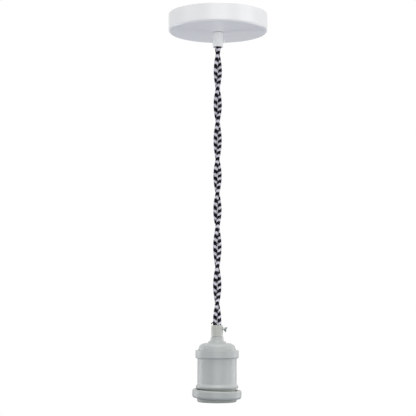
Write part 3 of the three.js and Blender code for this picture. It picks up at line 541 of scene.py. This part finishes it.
def rod(radius, low, high, place=(0, 0)):
    """A cylinder along Z, in millimetres"""
    bm = bmesh.new()
    middle = Matrix.Translation((place[0] * MM, place[1] * MM, (low + high) / 2 * MM))
    bmesh.ops.create_cone(bm, cap_ends=True, segments=ROUND_STEPS, radius1=radius * MM,
                          radius2=radius * MM, depth=(high - low) * MM, matrix=middle)
    return bm


def slot_tool(middle, low, high):
    """A rod drawn out along X to a slot with round ends"""
    bm = rod(SLOT_RADIUS, low, high, (middle, 0))
    for vertex in bm.verts:
        vertex.co.x += math.copysign(SLOT_STRAIGHT / 2, vertex.co.x - middle * MM) * MM
    return bm


def box(width, depth, height, middle):
    """A block, in millimetres"""
    bm = bmesh.new()
    size = Matrix.Diagonal((width * MM, depth * MM, height * MM, 1))
    bmesh.ops.create_cube(bm, size=1, matrix=Matrix.Translation(Vector(middle) * MM) @ size)
    return bm


def kept_object(bm, name="tool"):
    """A mesh as an object, for the length of a cut"""
    mesh = bpy.data.meshes.new(name)
    bm.to_mesh(mesh)
    bm.free()
    made = bpy.data.objects.new(name, mesh)
    scene.collection.objects.link(made)
    return made


def cut(body, *tools):
    """The body with each tool's volume taken away"""
    blank = kept_object(body, "blank")
    cutters = [kept_object(tool) for tool in tools]
    for cutter in cutters:
        taking = blank.modifiers.new("taking", "BOOLEAN")
        taking.operation = "DIFFERENCE"
        taking.solver = "EXACT"
        taking.object = cutter
    left = blank.evaluated_get(bpy.context.evaluated_depsgraph_get())
    bm = bmesh.new()
    bm.from_mesh(left.to_mesh())
    left.to_mesh_clear()
    for used in [blank, *cutters]:
        bpy.data.objects.remove(used)
    bmesh.ops.remove_doubles(bm, verts=bm.verts, dist=1e-7)
    return bm


def edges_broken(bm, width, keen=40):
    """Bevels every edge that is sharper than an angle"""
    sharp = [edge for edge in bm.edges if edge.is_manifold
             and abs(edge.calc_face_angle(0)) > math.radians(keen)]
    bmesh.ops.bevel(bm, geom=sharp, offset=width * MM, segments=2, profile=0.5, affect="EDGES",
                    clamp_overlap=True, material=-1)
    return bm


def drawn_along_y(bm, depth):
    """A section in the plane y = 0 drawn out both ways along Y"""
    bmesh.ops.edgenet_fill(bm, edges=bm.edges[:])
    bmesh.ops.translate(bm, verts=bm.verts, vec=(0, -depth / 2 * MM, 0))
    grown = bmesh.ops.extrude_face_region(bm, geom=bm.faces[:])["geom"]
    far = [part for part in grown if isinstance(part, bmesh.types.BMVert)]
    bmesh.ops.translate(bm, verts=far, vec=(0, depth * MM, 0))
    bmesh.ops.recalc_face_normals(bm, faces=bm.faces)
    return bm


def strap_blank():
    """The bent strip with its two slots and two holes"""
    low, high = reach("mounting_strap")
    foot = high.z - STRAP_SHEET
    plate = low.z + STRAP_SHEET
    outer = STRAP_HAT / 2
    inner = outer - STRAP_SHEET
    strip = drawn_along_y(section([
        (low.x, high.z),
        (-inner, high.z, STRAP_BEND),
        (-inner, plate, STRAP_INNER_BEND),
        (inner, plate, STRAP_INNER_BEND),
        (inner, high.z, STRAP_BEND),
        (high.x, high.z),
        (high.x, foot),
        (outer, foot, STRAP_INNER_BEND),
        (outer, low.z, STRAP_BEND),
        (-outer, low.z, STRAP_BEND),
        (-outer, foot, STRAP_INNER_BEND),
        (low.x, foot),
    ]), high.y - low.y)
    corners = [edge for edge in strip.edges if abs(edge.verts[0].co.x) > (high.x - 0.1) * MM
               and (edge.verts[0].co - edge.verts[1].co).normalized().z ** 2 > 0.9]
    bmesh.ops.bevel(strip, geom=corners, offset=STRAP_END_ROUND * MM, segments=FILLET_SEGMENTS,
                    profile=0.5, affect="EDGES", clamp_overlap=True, material=-1)
    below, above = low.z - 1, plate + 1
    return cut(strip,
               rod(STEM_HOLE_RADIUS, below, above),
               rod(EARTH_HOLE_RADIUS, below, above, (EARTH_SCREW_PLACE, 0)),
               slot_tool(SLOT_PLACE, foot - 1, high.z + 1),
               slot_tool(-SLOT_PLACE, foot - 1, high.z + 1))


zinc_plate = metal_finish("zinc_plate", ZINC, ZINC_STAIN, ZINC_SATIN)
even_shading(shown("strap", edges_broken(strap_blank(), SHEET_EDGE), zinc_plate,
                   stands_for=["mounting_strap"]))


# Toothed washer and nut: plated steel, on the grip's stem above the strap. The nut is a hexagon
# with its corners turned off and a chamfered bore.
NUT_CHAMFER = 1.0
NUT_EDGE = 0.12
WASHER_EDGE = 0.1


def copy_of(node):
    """A CAD node's own form, with its doubled corners merged and its flat faces whole"""
    bm = bmesh.new()
    bm.from_mesh(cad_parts[node].data)
    bmesh.ops.remove_doubles(bm, verts=bm.verts, dist=1e-6)
    bmesh.ops.dissolve_limit(bm, angle_limit=math.radians(0.5), verts=bm.verts, edges=bm.edges)
    return bm


def nut():
    """A hexagon drawn up, its corners turned off and its bore cut"""
    low, high = reach("rose_nut")
    flats = high.y - low.y
    corner = flats / math.sqrt(3)
    bm = bmesh.new()
    bmesh.ops.create_circle(bm, cap_ends=True, segments=6, radius=corner * MM)
    bmesh.ops.translate(bm, verts=bm.verts, vec=(0, 0, low.z * MM))
    grown = bmesh.ops.extrude_face_region(bm, geom=bm.faces[:])["geom"]
    tops = [part for part in grown if isinstance(part, bmesh.types.BMVert)]
    bmesh.ops.translate(bm, verts=tops, vec=(0, 0, (high.z - low.z) * MM))
    bmesh.ops.recalc_face_normals(bm, faces=bm.faces)
    crown = turned([
        (flats / 2 - 0.2, high.z + 0.01),
        (corner + 1, high.z + 0.01),
        (corner + 1, high.z - NUT_CHAMFER),
    ], steps=72)
    return cut(bm, crown, rod(STEM_HOLE_RADIUS, low.z - 1, high.z + 1))


even_shading(shown("washer", edges_broken(copy_of("rose_washer"), WASHER_EDGE), zinc_plate,
                   stands_for=["rose_washer"]))
even_shading(shown("nut", edges_broken(nut(), NUT_EDGE), zinc_plate,
                   stands_for=["rose_nut"]))


# Rose grip: one white nylon moulding, threaded stem, round body and a mouth for the braided
# pair. Its small side screw pinches the cord, so the lamp's weight stays off the terminals.
GRIP_BORE_RADIUS = 2.9
GRIP_MOUTH_RADIUS = 4.45
ROSE_STEM_RADIUS = 3.9
ROSE_STEM_TOP = -7.5
ROSE_GRIP_TOP = -18.3
ROSE_MOUTH_FLOOR = -24.2
GRIP_EDGE = 0.2
STEM_EDGE = 0.3
MOUTH_EDGE = 0.25
ROSE_GRIP_UPPER_ROUND = 0.9
ROSE_GRIP_LOWER_ROUND = 0.45
STEM_THREAD_PITCH = 1.0
STEM_THREAD_DEPTH = 0.35
STEM_THREAD_CUTS = 80
THREAD_FADE = 1.0
ROSE_GRIP_STEPS = 96
NYLON_WHITE = (0.93, 0.935, 0.925)
NYLON_SHADE = (0.9, 0.905, 0.89)
NYLON_ROUGHNESS = 0.42
NYLON_GRAIN = 1500.0
NYLON_MILK = (0.15, (0.002, 0.002, 0.0018))


def threaded(bm, radius, low, high, pitch, depth):
    """Presses a thread of a pitch into the round wall of a radius, faded at both ends"""
    for vertex in bm.verts:
        out = math.hypot(vertex.co.x, vertex.co.y) / MM
        height = vertex.co.z / MM
        if abs(out - radius) > 1e-3 or not low < height < high:
            continue
        turn = math.atan2(vertex.co.y, vertex.co.x) / (2 * math.pi)
        groove = 0.5 - 0.5 * math.cos(2 * math.pi * (height / pitch - turn))
        end = min(1.0, (height - low) / THREAD_FADE, (high - height) / THREAD_FADE)
        share = 1 - depth * groove * end / radius
        vertex.co.x *= share
        vertex.co.y *= share
    return bm


def wall_cuts(corner_low, corner_high, cuts):
    """Evenly spaced corners up a straight wall"""
    (radius, low), (_, high) = corner_low, corner_high
    return [(radius, low + (high - low) * k / cuts) for k in range(1, cuts)]


grip_low, grip_high = reach("rose_grip")
grip = turned([
    (GRIP_BORE_RADIUS, ROSE_STEM_TOP, GRIP_EDGE),
    (ROSE_STEM_RADIUS, ROSE_STEM_TOP, STEM_EDGE),
    *wall_cuts((ROSE_STEM_RADIUS, ROSE_STEM_TOP - STEM_EDGE), (ROSE_STEM_RADIUS, ROSE_GRIP_TOP),
               STEM_THREAD_CUTS),
    (ROSE_STEM_RADIUS, ROSE_GRIP_TOP),
    (grip_high.y, ROSE_GRIP_TOP, ROSE_GRIP_UPPER_ROUND),
    (grip_high.y, grip_low.z, ROSE_GRIP_LOWER_ROUND),
    (GRIP_MOUTH_RADIUS, grip_low.z, MOUTH_EDGE),
    (GRIP_MOUTH_RADIUS, ROSE_MOUTH_FLOOR, STEM_EDGE),
    (GRIP_BORE_RADIUS, ROSE_MOUTH_FLOOR, GRIP_EDGE),
], steps=ROSE_GRIP_STEPS)
threaded(grip, ROSE_STEM_RADIUS, ROSE_GRIP_TOP + GRIP_EDGE, ROSE_STEM_TOP - STEM_EDGE,
         STEM_THREAD_PITCH, STEM_THREAD_DEPTH)
white_nylon = coated("white_nylon", NYLON_WHITE, NYLON_SHADE, NYLON_ROUGHNESS, NYLON_GRAIN,
                     milk=NYLON_MILK)
even_shading(shown("upper_grip", grip, white_nylon, stands_for=["rose_grip"]))


# Screws: slotted, turned from plated steel or brass. The rose grip's is a small white one, the
# holder grip's has a wide conical head and is done up at a slant.
SCREW_SLOT_WIDTH = 0.6
SCREW_SLOT_DEPTH = 0.5
SCREW_STEPS = 48
TIP_EDGE = 0.2
HEAD_EDGE = 0.12
# Radius, head's radius, head's height and the round of the head's crown
EARTH_SCREW = (1.7, 3.2, 2.0, 0.8)
SIDE_SCREW = (1.2, 1.7, 1.1, 0.3)
POLE_SCREW = (1.2, 1.6, 2.0, 0.3)
BASE_SCREW = (0.9, 1.7, 1.2, 0.3)
CLAMP_SCREW = (1.2, 2.0, 1.4, 0.3)
BRASS = (0.72, 0.5, 0.2)
BRASS_STAIN = (0.5, 0.33, 0.13)
BRASS_SATIN = (0.28, 0.45)
DULL_ZINC = (0.5, 0.54, 0.51)
DULL_STAIN = (0.36, 0.4, 0.37)
DULL_SATIN = (0.4, 0.55)
HOLDER_SCREW_TILT = math.radians(107)
HOLDER_SCREW_PLACE = (5.8, 0, -315.7)
HOLDER_SCREW_TIP = -1.05
HOLDER_SCREW_NECK = 1.4
HOLDER_SCREW_TOP = 3.8
HOLDER_HEAD_RADIUS = 2.8


def slotted_screw(form, length, slot_turn):
    """A screw that stands on Z, its head's top at height 0"""
    radius, head_radius, head, crown = form
    body = turned([
        (0, -length),
        (radius, -length, TIP_EDGE),
        (radius, -head),
        (head_radius, -head, HEAD_EDGE),
        (head_radius, 0, crown),
        (0, 0),
    ], steps=SCREW_STEPS)
    slot = box(4 * head_radius, SCREW_SLOT_WIDTH, 2 * SCREW_SLOT_DEPTH, (0, 0, 0))
    bmesh.ops.rotate(slot, verts=slot.verts, matrix=Matrix.Rotation(slot_turn, 3, "Z"))
    return cut(body, slot)


def moved(bm, place, turn=None):
    """Turns a piece about the origin, then carries it to its place in millimetres"""
    if turn is not None:
        bmesh.ops.rotate(bm, verts=bm.verts, matrix=turn)
    bmesh.ops.translate(bm, verts=bm.verts, vec=Vector(place) * MM)
    return bm


def upright_screw(name, node, form, slot_turn, finish):
    """A screw on its CAD node's own axis, head up"""
    low, high = reach(node)
    middle = (low + high) / 2
    screw = slotted_screw(form, high.z - low.z, slot_turn)
    moved(screw, (middle.x, middle.y, high.z))
    even_shading(shown(name, screw, finish, stands_for=[node]))


brass = metal_finish("brass", BRASS, BRASS_STAIN, BRASS_SATIN)
dull_zinc = metal_finish("dull_zinc", DULL_ZINC, DULL_STAIN, DULL_SATIN)
upright_screw("earth_clamp_screw", "earth_screw", EARTH_SCREW, 0.5, brass)

side_low, side_high = reach("rose_grip_screw")
side_screw = slotted_screw(SIDE_SCREW, side_high.x - side_low.x, 0.4)
moved(side_screw, (side_high.x, 0, (side_low.z + side_high.z) / 2), Matrix.Rotation(math.pi / 2, 3, "Y"))
even_shading(shown("upper_grip_screw", side_screw, white_nylon,
                   stands_for=["rose_grip_screw"]))

flared_screw = turned([
    (0, HOLDER_SCREW_TIP),
    (SIDE_SCREW[0], HOLDER_SCREW_TIP, TIP_EDGE),
    (SIDE_SCREW[0], HOLDER_SCREW_NECK, 0.6),
    (HOLDER_HEAD_RADIUS - 0.15, HOLDER_SCREW_TOP - 0.6, 0.25),
    (HOLDER_HEAD_RADIUS, HOLDER_SCREW_TOP - 0.3, HEAD_EDGE),
    (HOLDER_HEAD_RADIUS, HOLDER_SCREW_TOP, HEAD_EDGE),
    (0, HOLDER_SCREW_TOP),
], steps=SCREW_STEPS)
flared_screw = cut(flared_screw, box(SCREW_SLOT_WIDTH, 12, 2 * SCREW_SLOT_DEPTH, (0, 0, HOLDER_SCREW_TOP)))
moved(flared_screw, HOLDER_SCREW_PLACE, Matrix.Rotation(HOLDER_SCREW_TILT, 3, "Y"))
even_shading(shown("lower_grip_screw", flared_screw, dull_zinc,
                   stands_for=["holder_grip_screw"]))


# Terminal block: a two-pole block moulded in white nylon that lies in the cup behind the strap,
# with a tapped brass sleeve and two steel screws to each pole.
HOUSING_EDGE = 0.35
SLEEVE_EDGE = 0.08


def softened(name, node, edge_width, finish):
    """A CAD node's own form with its square edges broken"""
    form = edges_broken(copy_of(node), edge_width, keen=60)
    even_shading(shown(name, form, finish, stands_for=[node]))


softened("terminal_block", "terminal_housing", HOUSING_EDGE, white_nylon)
for pole in ("brown", "blue"):
    softened(f"pole_sleeve_{pole}", f"terminal_sleeve_{pole}", SLEEVE_EDGE, brass)
    for end, slot_turn in (("cord", 0.3), ("supply", -0.8)):
        upright_screw(f"pole_screw_{pole}_{end}", f"terminal_screw_{pole}_{end}", POLE_SCREW,
                      slot_turn, zinc_plate)


# Leads: the cord's two insulated wires without their braid, brown and blue. In the rose they
# climb through the stem, cross the nut and drop into the terminal block; in the holder they come
# down the stem and spread to the two contact clamps.
LEAD_RADIUS = 1.1
LEAD_OFFSET = 1.3
BROWN = (0.13, 0.055, 0.025)
BROWN_SHADE = (0.1, 0.042, 0.02)
BLUE = (0.03, 0.13, 0.4)
BLUE_SHADE = (0.024, 0.1, 0.32)
PVC_ROUGHNESS = 0.38
PVC_GRAIN = 2000.0
POLE_HALF_SPACING = 4.25
SLEEVE_HEIGHT = -11.5
HOLDER_MOUTH_FLOOR = -320.4
CLAMP_HEIGHT = -339.5


def lead(name, node, points, finish):
    """A wire on a smooth line through its points"""
    line = bpy.data.curves.new(name, "CURVE")
    line.dimensions = "3D"
    line.bevel_depth = LEAD_RADIUS * MM
    line.bevel_resolution = 6
    line.use_fill_caps = True
    line.resolution_u = 10
    spline = line.splines.new("BEZIER")
    spline.bezier_points.add(len(points) - 1)
    for knot, point in zip(spline.bezier_points, points):
        knot.co = Vector(point) * MM
        knot.handle_left_type = knot.handle_right_type = "AUTO"
    carrier = bpy.data.objects.new(name, line)
    scene.collection.objects.link(carrier)
    bm = bmesh.new()
    bm.from_mesh(carrier.to_mesh())
    bpy.data.objects.remove(carrier)
    bmesh.ops.remove_doubles(bm, verts=bm.verts, dist=1e-7)
    bmesh.ops.recalc_face_normals(bm, faces=bm.faces)
    shown(name, bm, finish, stands_for=[node], sharp=50)


def start_of(height, side):
    """Where a lead leaves its core, on the side that the core's end lies"""
    core = core_centre(height, 1)
    return [part * side * math.copysign(1, core.x) * LEAD_OFFSET / PAIR_RADIUS for part in core.xy]


pvc = {
    "brown": coated("brown_insulation", BROWN, BROWN_SHADE, PVC_ROUGHNESS, PVC_GRAIN),
    "blue": coated("blue_insulation", BLUE, BLUE_SHADE, PVC_ROUGHNESS, PVC_GRAIN),
}
for side, pole in ((1, "brown"), (-1, "blue")):
    x, y = start_of(CORD_TOP, side)
    far = side * POLE_HALF_SPACING
    lead(f"rose_wire_{pole}", f"rose_lead_{pole}", [
        (x, y, ROSE_MOUTH_FLOOR), (x, y, -16), (x, y, -8), (side * 1.7, y * 0.4 + 1.3, -5.2),
        (side * 2.9, 3.6, -3.3), (side * 3.9, 7, -4.2), (far, 9.8, -7.2), (far, 12, -10.1),
        (far, 14.8, SLEEVE_HEIGHT), (far, 18, SLEEVE_HEIGHT), (far, 21.5, SLEEVE_HEIGHT),
    ], pvc[pole])
    x, y = start_of(CORD_END, side)
    lead(f"holder_wire_{pole}", f"holder_lead_{pole}", [
        (x, y, HOLDER_MOUTH_FLOOR), (x, y, -326.4), (x, y, -332.5), (side * 1.9, y * 0.8, -335.2),
        (side * 3.6, y * 0.4, -338), (side * 5.8, 0, -339.3), (side * 8, 0, CLAMP_HEIGHT),
        (side * 12, 0, CLAMP_HEIGHT),
    ], pvc[pole])


# Holder grip: a milky grey nylon moulding that screws into the holder's neck and takes the
# braided pair at its mouth. Its upper rim is rounded and has small notches.
HOLDER_STEM_RADIUS = 4.85
HOLDER_STEM_SHOULDER = -323.7
HOLDER_STEPS = 144
RIM_NOTCHES = 6
RIM_NOTCH_DEPTH = 1.0
RIM_NOTCH_REACH = 2.4
RIM_NOTCH_PHASE = 2.24
RIM_NOTCH_KEENNESS = 6
HOLDER_GRIP_ROUND = 1.1
NYLON_GREY = (0.55, 0.56, 0.525)
NYLON_GREY_SHADE = (0.47, 0.48, 0.445)
NYLON_GREY_ROUGHNESS = 0.38
NYLON_GREY_MILK = (0.25, (0.002, 0.002, 0.0017))

neck_low, neck_high = reach("holder_grip")
lower_grip = turned([
    (GRIP_BORE_RADIUS, neck_low.z, GRIP_EDGE),
    (HOLDER_STEM_RADIUS, neck_low.z, STEM_EDGE),
    (HOLDER_STEM_RADIUS, HOLDER_STEM_SHOULDER),
    (neck_high.y, HOLDER_STEM_SHOULDER, GRIP_EDGE),
    (neck_high.y, neck_high.z, HOLDER_GRIP_ROUND),
    (GRIP_MOUTH_RADIUS, neck_high.z, GRIP_EDGE),
    (GRIP_MOUTH_RADIUS, HOLDER_MOUTH_FLOOR, STEM_EDGE),
    (GRIP_BORE_RADIUS, HOLDER_MOUTH_FLOOR, GRIP_EDGE),
], steps=HOLDER_STEPS)
for vertex in lower_grip.verts:
    depth = neck_high.z - vertex.co.z / MM
    if depth < RIM_NOTCH_REACH:
        turn = math.atan2(vertex.co.y, vertex.co.x)
        notch = max(0.0, math.cos(RIM_NOTCHES * turn + RIM_NOTCH_PHASE)) ** RIM_NOTCH_KEENNESS
        vertex.co.z -= RIM_NOTCH_DEPTH * notch * (1 - depth / RIM_NOTCH_REACH) * MM
milky_nylon = coated("milky_nylon", NYLON_GREY, NYLON_GREY_SHADE, NYLON_GREY_ROUGHNESS, NYLON_GRAIN,
                     milk=NYLON_GREY_MILK)
even_shading(shown("lower_grip", lower_grip, milky_nylon,
                   stands_for=["holder_grip"]))


# Holder cap: neck, step, dome and band pressed and turned from one piece of metal, painted pale
# grey. The band screws on to the shell.
PAINT_GREY = (0.44, 0.46, 0.453)
PAINT_SHADE = (0.42, 0.441, 0.434)
PAINT_ROUGHNESS = 0.33
CAP_WALL = 1.2
NECK_BORE_RADIUS = 5.15
NECK_TOP_RADIUS = 6.1
NECK_FOOT_RADIUS = 6.9
STEP_RADIUS = 9.0
STEP_ROUND = 1.4
CROWN_RADIUS = 13.6
CROWN_ROUND = 3.5
SHOULDER_RADIUS = 17.5
SHOULDER_ROUND = 2.6
DOME_INSET = 0.7
DOME_FOOT_INSET = 2.6
BAND_WALL = 1.7
BAND_LOWER_ROUND = 1.2
NECK_RIM_ROUND = 0.35
FINE_EDGE = 0.2
SOFT_EDGE = 0.25
ROOT_ROUND = 0.15
INNER_ROUND = 0.3
INNER_SHOULDER_ROUND = 1.5
INNER_CROWN_ROUND = 1.0

cap_low, cap_high = reach("holder_cap")
band = cap_high.x
foot = band - DOME_FOOT_INSET
top = cap_high.z
step_top = top - 4.2
step_foot = top - 6.1
crown = top - 6.2
shoulder = top - 8.5
foot_top = top - 11.6
band_top = top - 13.2
holder_paint = coated("holder_paint", PAINT_GREY, PAINT_SHADE, PAINT_ROUGHNESS)
cap = turned([
    (NECK_BORE_RADIUS, top, FINE_EDGE),
    (NECK_TOP_RADIUS, top, NECK_RIM_ROUND),
    (NECK_FOOT_RADIUS, step_top, SOFT_EDGE),
    (STEP_RADIUS, step_top, STEP_ROUND),
    (STEP_RADIUS, step_foot, INNER_ROUND),
    (CROWN_RADIUS, crown, CROWN_ROUND),
    (SHOULDER_RADIUS, shoulder, SHOULDER_ROUND),
    (foot - DOME_INSET, foot_top, ROOT_ROUND),
    (foot, foot_top, FINE_EDGE),
    (foot, band_top, ROOT_ROUND),
    (band, band_top, INNER_ROUND),
    (band, cap_low.z, BAND_LOWER_ROUND),
    (band - BAND_WALL, cap_low.z, SOFT_EDGE),
    (band - BAND_WALL, band_top - CAP_WALL, INNER_ROUND),
    (foot - CAP_WALL, band_top - CAP_WALL, INNER_ROUND),
    (foot - DOME_INSET - CAP_WALL, foot_top, INNER_ROUND),
    (SHOULDER_RADIUS - CAP_WALL, shoulder - INNER_ROUND, INNER_SHOULDER_ROUND),
    (CROWN_RADIUS - INNER_ROUND, crown - CAP_WALL, INNER_CROWN_ROUND),
    (NECK_BORE_RADIUS, crown - CAP_WALL, FINE_EDGE),
])
even_shading(shown("cap", cap, holder_paint, stands_for=["holder_cap"]))


# Holder shell: a metal tube, painted as the cap is, with its lower edge spun outwards to a
# rounded lip. The upper end carries the thread that the band screws on to.
LIP_ROOT_RISE = 4.3
LIP_EDGE_RISE = 1.8
LIP_FACE_INSET = 0.7
LIP_ROOT_ROUND = 1.8
LIP_EDGE_ROUND = 0.9
LIP_FACE_ROUND = 0.5
SHELL_RADIUS = 19.4
SHELL_WALL = 1.0

shell_low, shell_high = reach("holder_shell")
shell = turned([
    (SHELL_RADIUS, shell_high.z, FINE_EDGE),
    (SHELL_RADIUS, shell_low.z + LIP_ROOT_RISE, LIP_ROOT_ROUND),
    (shell_high.x, shell_low.z + LIP_EDGE_RISE, LIP_EDGE_ROUND),
    (shell_high.x - LIP_FACE_INSET, shell_low.z, LIP_FACE_ROUND),
    (SHELL_RADIUS - SHELL_WALL, shell_low.z, FINE_EDGE),
    (SHELL_RADIUS - SHELL_WALL, shell_high.z, FINE_EDGE),
])
even_shading(shown("shell", shell, holder_paint, stands_for=["holder_shell"]))


# Skirt: a resin moulding, its colour painted darker as shade from the ring above it. Its neck goes
# up into the shell, its threaded outside carries the shade ring, and the lamp goes in at its mouth.
SKIRT_NECK_RADIUS = 18.1
SKIRT_SHOULDER = -377.0
SKIRT_BORE_RADIUS = 14.35
SKIRT_MOUTH_WALL = 3.0
SKIRT_MOUTH_DEPTH = 7.7
SKIRT_THREAD_LOW = -385.6
SKIRT_THREAD_PITCH = 2.0
SKIRT_THREAD_DEPTH = 0.35
SKIRT_THREAD_CUTS = 60
SKIRT_THREAD_RELIEF = 0.4
# Painted shade: the resin's colour is darker than the moulding's own, for the ring's shadow on the skirt
RESIN_WITH_PAINTED_SHADE = (0.34, 0.36, 0.33)
RESIN_SHADE = (0.3, 0.32, 0.295)
RESIN_ROUGHNESS = 0.36
RESIN_GRAIN = 1200.0
SKIRT_FOOT_ROUND = 1.8
SKIRT_MOUTH_ROUND = 0.7
SKIRT_NECK_ROUND = 0.4

skirt_low, skirt_high = reach("lamp_skirt")
edge = skirt_high.x
mouth = edge - SKIRT_MOUTH_WALL
skirt = turned([
    (SKIRT_NECK_RADIUS, skirt_high.z, SKIRT_NECK_ROUND),
    (SKIRT_NECK_RADIUS, SKIRT_SHOULDER),
    (edge, SKIRT_SHOULDER, FINE_EDGE),
    *wall_cuts((edge, SKIRT_SHOULDER - INNER_ROUND), (edge, SKIRT_THREAD_LOW), SKIRT_THREAD_CUTS),
    (edge, skirt_low.z, SKIRT_FOOT_ROUND),
    (mouth, skirt_low.z, SKIRT_MOUTH_ROUND),
    (mouth, skirt_low.z + SKIRT_MOUTH_DEPTH, SKIRT_NECK_ROUND),
    (SKIRT_BORE_RADIUS, skirt_low.z + SKIRT_MOUTH_DEPTH, INNER_ROUND),
    (SKIRT_BORE_RADIUS, skirt_high.z, INNER_ROUND),
])
threaded(skirt, edge, SKIRT_THREAD_LOW, SKIRT_SHOULDER - SKIRT_THREAD_RELIEF, SKIRT_THREAD_PITCH,
         SKIRT_THREAD_DEPTH)
resin = coated("resin_with_painted_shade", RESIN_WITH_PAINTED_SHADE, RESIN_SHADE, RESIN_ROUGHNESS, RESIN_GRAIN)
even_shading(shown("skirt", skirt, resin, stands_for=["lamp_skirt"]))


# Shade ring: a threaded ring with rounded edges, painted pale grey. It sits a little askew on
# the skirt's thread, higher at the left and lower at the front, with a gap under the lip.
RING_TOP = -375.7
RING_WALL = 4.2
RING_RADIUS = 24.35
RING_HEIGHT = 8.25
RING_BORE_ROUND = 0.4
RING_FOOT_ROUND = 2.4
RING_TOP_ROUND = 1.4
RING_ROLL = math.radians(2)
RING_NOD = math.radians(1.4)
RING_THREAD_CUTS = 44
RING_THREAD_DEPTH = 0.3
RING_GREY = (0.415, 0.437, 0.425)
RING_SHADE = (0.395, 0.418, 0.408)


def ring_blank():
    """The ring turned upright with its thread inside, then leant and set in its place"""
    bore = RING_RADIUS - RING_WALL
    thread_top, thread_low = -0.5, 0.5 - RING_HEIGHT
    bm = turned([
        (bore, 0, RING_BORE_ROUND),
        *wall_cuts((bore, thread_top), (bore, thread_low), RING_THREAD_CUTS),
        (bore, -RING_HEIGHT, RING_BORE_ROUND),
        (RING_RADIUS, -RING_HEIGHT, RING_FOOT_ROUND),
        (RING_RADIUS, 0, RING_TOP_ROUND),
    ])
    threaded(bm, bore, thread_low, thread_top, SKIRT_THREAD_PITCH, -RING_THREAD_DEPTH)
    lean = Matrix.Rotation(RING_NOD, 3, "X") @ Matrix.Rotation(RING_ROLL, 3, "Y")
    return moved(bm, (0, 0, RING_TOP), lean)


ring_paint = coated("ring_paint", RING_GREY, RING_SHADE, PAINT_ROUGHNESS)
even_shading(shown("ring", ring_blank(), ring_paint, body="ring",
                   stands_for=["shade_ring"]))


# Screw shell: thin brass rolled to the lamp cap's round thread, with a turned-in flange at its
# upper end that is held under the contact base.
THREAD_PITCH = 3.629
THREAD_CREST = 12.35
THREAD_ROOT = 13.55
SCREW_SHELL_SHEET = 0.5
SCREW_SHELL_EYE = 9.4
SCREW_SHELL_CUTS = 150
SCREW_SHELL_FADE = 1.8


def screw_shell_blank():
    """A plain tube with an inward flange, its wall waved into the round thread"""
    low, high = reach("screw_shell")
    sheet = SCREW_SHELL_SHEET
    wall_top = high.z - sheet
    middle = (THREAD_CREST + THREAD_ROOT) / 2
    half = (THREAD_ROOT - THREAD_CREST) / 2
    inside = wall_cuts((middle, wall_top), (middle, low.z), SCREW_SHELL_CUTS)
    outside = [(radius + sheet, height) for radius, height in reversed(inside)]
    bm = turned([
        (SCREW_SHELL_EYE, high.z),
        (SCREW_SHELL_EYE, wall_top),
        (middle, wall_top),
        *inside,
        (middle, low.z),
        (middle + sheet, low.z),
        *outside,
        (middle + sheet, high.z),
    ], steps=HOLDER_STEPS)
    for vertex in bm.verts:
        height = vertex.co.z / MM
        out = math.hypot(vertex.co.x, vertex.co.y) / MM
        if out < middle - 0.1:
            continue
        turn = math.atan2(vertex.co.y, vertex.co.x) / (2 * math.pi)
        wave = math.cos(2 * math.pi * (height / THREAD_PITCH - turn))
        fade = min(1.0, max(0.0, (wall_top - height) / SCREW_SHELL_FADE))
        share = 1 + half * wave * fade / out
        vertex.co.x *= share
        vertex.co.y *= share
    bmesh.ops.recalc_face_normals(bm, faces=bm.faces)
    return bm


shown("thread_shell", screw_shell_blank(), brass, stands_for=["screw_shell"], sharp=60)


# Contact base and contacts: a moulded disc on two long screws, with a springy centre tongue, a
# side strip and a brass clamp with its screw for each lead.
BASE_EDGE = 0.4
CLAMP_EDGE = 0.25
STRIP_EDGE = 0.1

softened("contact_disc", "contact_base", BASE_EDGE, resin)
softened("centre_tongue", "centre_contact", STRIP_EDGE, brass)
softened("side_strip", "side_contact", STRIP_EDGE, brass)
for place, slot_turn in (("front", 0.2), ("back", 1.1)):
    upright_screw(f"long_screw_{place}", f"base_screw_{place}", BASE_SCREW, slot_turn, zinc_plate)
for pole, slot_turn in (("live", 0.7), ("neutral", -0.4)):
    softened(f"wire_clamp_{pole}", f"contact_clamp_{pole}", CLAMP_EDGE, brass)
    upright_screw(f"wire_screw_{pole}", f"clamp_screw_{pole}", CLAMP_SCREW, slot_turn, zinc_plate)
